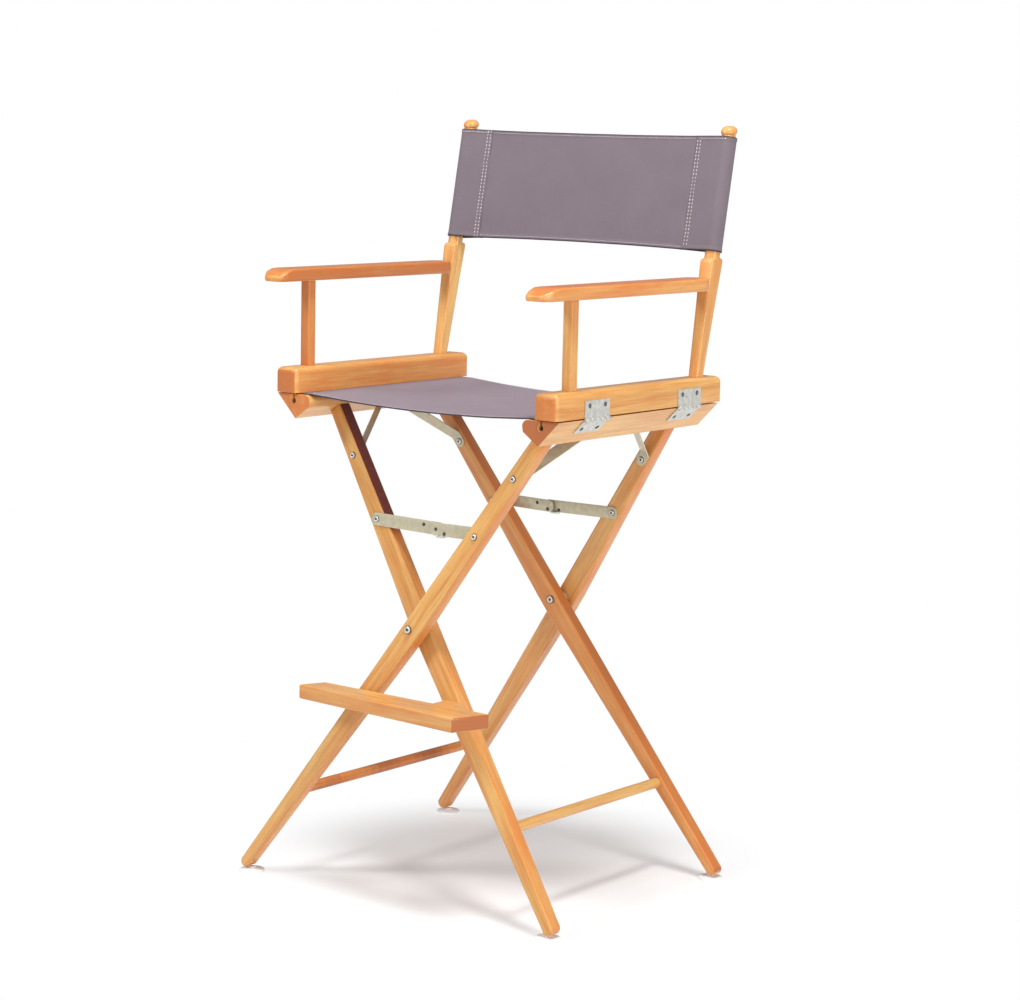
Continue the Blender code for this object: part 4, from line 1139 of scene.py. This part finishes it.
sleeve_path = np.concatenate([
    run(flap_start[0], flap_start[1], 5), run(flap_start[1], sleeve_arc[0], 16)[1:-1], sleeve_arc,
    run(sleeve_arc[-1], front_run[0], 16)[1:-1], run(front_run[0], front_run[1], 4),
])
smoothing = np.array([1, 4, 6, 4, 1]) / 16
for k in range(2):
    soft = np.convolve(sleeve_path[:, k], smoothing, "valid")
    sleeve_path[2:-2, k] = soft
travelled = np.concatenate([[0], np.cumsum(np.linalg.norm(np.diff(sleeve_path, axis=0), axis=1))])
for word, side in chair_sides:
    across, depth = side * sleeve_path[:, 0, None] + 0 * levels, sleeve_path[:, 1, None] + 0 * levels
    v = levels[None, :] + 0 * across
    depth = depth + 0.0004 * np.sin(v * 70 + side) * np.clip((post_x - abs(across)) / 0.02, 0, 1)
    centre = (back_middle + across[..., None] * (1, 0, 0) + v[..., None] * back_up
              + depth[..., None] * back_front)
    normal = surface_normals(centre, back_front)
    flat_u = side * (seam_x + travelled[-1] - travelled)[:, None] + 0 * v
    sleeve = cloth_skin(f"canvas_back_sleeve_{word}", centre, normal, np.broadcast_to(level_half, v.shape),
                        np.stack([flat_u, v], 2), canvas)
    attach(sleeve, f"{word}_arm")
    rows = []
    row_v = np.arange(-back_half + 0.003, back_half - 0.002, 0.0056)
    for step in (0.0, seam_step):
        depth_here = np.interp(seam_x + step, sleeve_path[::-1, 0][:20], sleeve_path[::-1, 1][:20])
        row_x = side * (seam_x + step)
        rows.append(back_middle + np.array([row_x, 0, 0]) + row_v[:, None] * back_up
                    + back_front * (depth_here + 0.0007))
    vertical = np.concatenate(rows)
    hem_u = side * np.arange(seam_x + 0.004, post_x + 0.006, stitch_pitch)
    front_depth = np.interp(abs(hem_u), sleeve_path[::-1, 0][:40], sleeve_path[::-1, 1][:40])
    hem_line = (back_middle + hem_u[:, None] * (1, 0, 0) + (back_half - back_hem + hem_stitch_in) * back_up
                + (front_depth + 0.0009)[:, None] * back_front)
    places = np.concatenate([vertical, hem_line])
    directions = np.repeat([back_up, (1.0, 0, 0)], [len(vertical), len(hem_line)], axis=0)
    seam = sew(f"stitches_back_sleeve_{word}", places, directions, np.tile(back_front, (len(places), 1)))
    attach(seam, f"{word}_arm")


# ---- Seat cloth ----------------------------------------------------------------------------------
# The same canvas, hemmed front and rear. Each side is sewn round a rod that sits in the rail's slot,
# comes up between the two rails and over the lower rail's nose; the panel hangs between the noses.

seat_z = (lower_top + upper_bottom) / 2
seat_sag, seat_half, seat_reach, seat_hem = 0.012, 0.192, 0.2075, 0.0065
seat_levels, seat_level_half = hem_levels(seat_half, seat_hem)
# The seat's yarn colours are the same canvas as the back's, lighter as painted light on a cloth facing up.
seat_canvas = canvas_finish("mauve_canvas_seat", (0.275, 0.217, 0.258, 1), (0.228, 0.18, 0.215, 1),
                            seat_half)


def seat_panel(x, y):
    """A point of the seat's middle surface: it hangs as a parabola, a little deeper in the middle of its
    length; its front and rear edges draw in by 6 mm at mid span, and faint folds cross it.
    """
    span = np.clip(1 - (x / seat_reach) ** 2, 0, 1)
    run_in = y * (1 - 0.03 * span)
    folds = (0.0007 * np.sin(y * 52 + 4 * x) + 0.0005 * np.sin(y * 96 - 7 * x + 1.0)) * span ** 0.5
    corner = 0.0011 * np.sin((abs(x) * 60 + y * 45)) * np.exp(-(seat_reach - abs(x)) / 0.04) * span
    z = seat_z - seat_sag * span * (1 - 0.25 * (y / seat_half) ** 2) + folds + corner
    return np.stack([x, run_in + middle_y, z], -1)


x = seat_reach * np.sin(np.linspace(-np.pi / 2, np.pi / 2, 141))[:, None] + 0 * seat_levels[None, :]
y = seat_levels[None, :] + 0 * x
centre = seat_panel(x, y)
normal = surface_normals(centre, (0, 0, 1))
seat = cloth_skin("canvas_seat_panel", centre, normal, np.broadcast_to(seat_level_half, x.shape),
                  np.stack([x, y], 2), seat_canvas)
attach(seat, "seat_sling")
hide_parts("seat_cloth")
seat_stitches = sew_hems("stitches_seat_hems", seat_panel, seat_reach - 0.004, seat_half, seat_hem,
                         (0.0, 0, 1), 0.0011)
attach(seat_stitches, "seat_sling")
for piece in (seat, seat_stitches):
    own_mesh(piece)

side_half, turn_r = 0.0008, 0.001
wrap_path = np.concatenate([
    run(np.array([groove_x, bore_z + 0.0038]), np.array([groove_x, seat_z - turn_r]), 6)[:-1],
    arc(groove_x - turn_r, seat_z - turn_r, turn_r, 0, 90, 4),
    run(np.array([groove_x - turn_r, seat_z]), np.array([seat_reach, seat_z]), 12)[1:],
])
wrap_run = np.concatenate([[0], np.cumsum(np.linalg.norm(np.diff(wrap_path, axis=0), axis=1))])
for word, side, body in frame_sides:
    y = seat_levels[None, :] + 0 * wrap_path[:, :1]
    across, height = wrap_path[:, 0, None], wrap_path[:, 1, None]
    centre = np.stack([side * across + 0 * y, y + middle_y, height + 0 * y], -1)
    normal = surface_normals(centre, (0, 0, 1))
    thin = np.minimum(np.broadcast_to(seat_level_half, y.shape), side_half)
    flat_x = side * (seat_reach + wrap_run[-1] - wrap_run)[:, None] + 0 * y
    wrap = cloth_skin(f"canvas_seat_side_{word}", centre, normal, thin, np.stack([flat_x, y], 2),
                      seat_canvas)
    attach(wrap, body)

# The rod in each slot, wrapped in the cloth that is sewn round it; its ends sit back in the slot.
rod_wrap_r, rod_set_in, rod_sides = 0.0037, 0.006, 24
for word, side, body in frame_sides:
    turn = full_turn(rod_sides)[None, :]
    y = np.array([-1.0, 1.0])[:, None] * (rail_length / 2 - rod_set_in)
    loops = np.stack([side * groove_x + rod_wrap_r * np.cos(turn) + 0 * y, y + middle_y + 0 * turn,
                      bore_z + rod_wrap_r * np.sin(turn) + 0 * y], -1)
    wrapped = skin(f"canvas_wrapped_rod_{word}", loops, 50)
    unrolled = np.stack(np.broadcast_arrays(rod_wrap_r * turn, y), -1).reshape(-1, 2)
    lay_threads(wrapped, unrolled)
    wrapped.data.materials.append(seat_canvas)
    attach(wrapped, body)
    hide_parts(f"seat_rod_{word}")
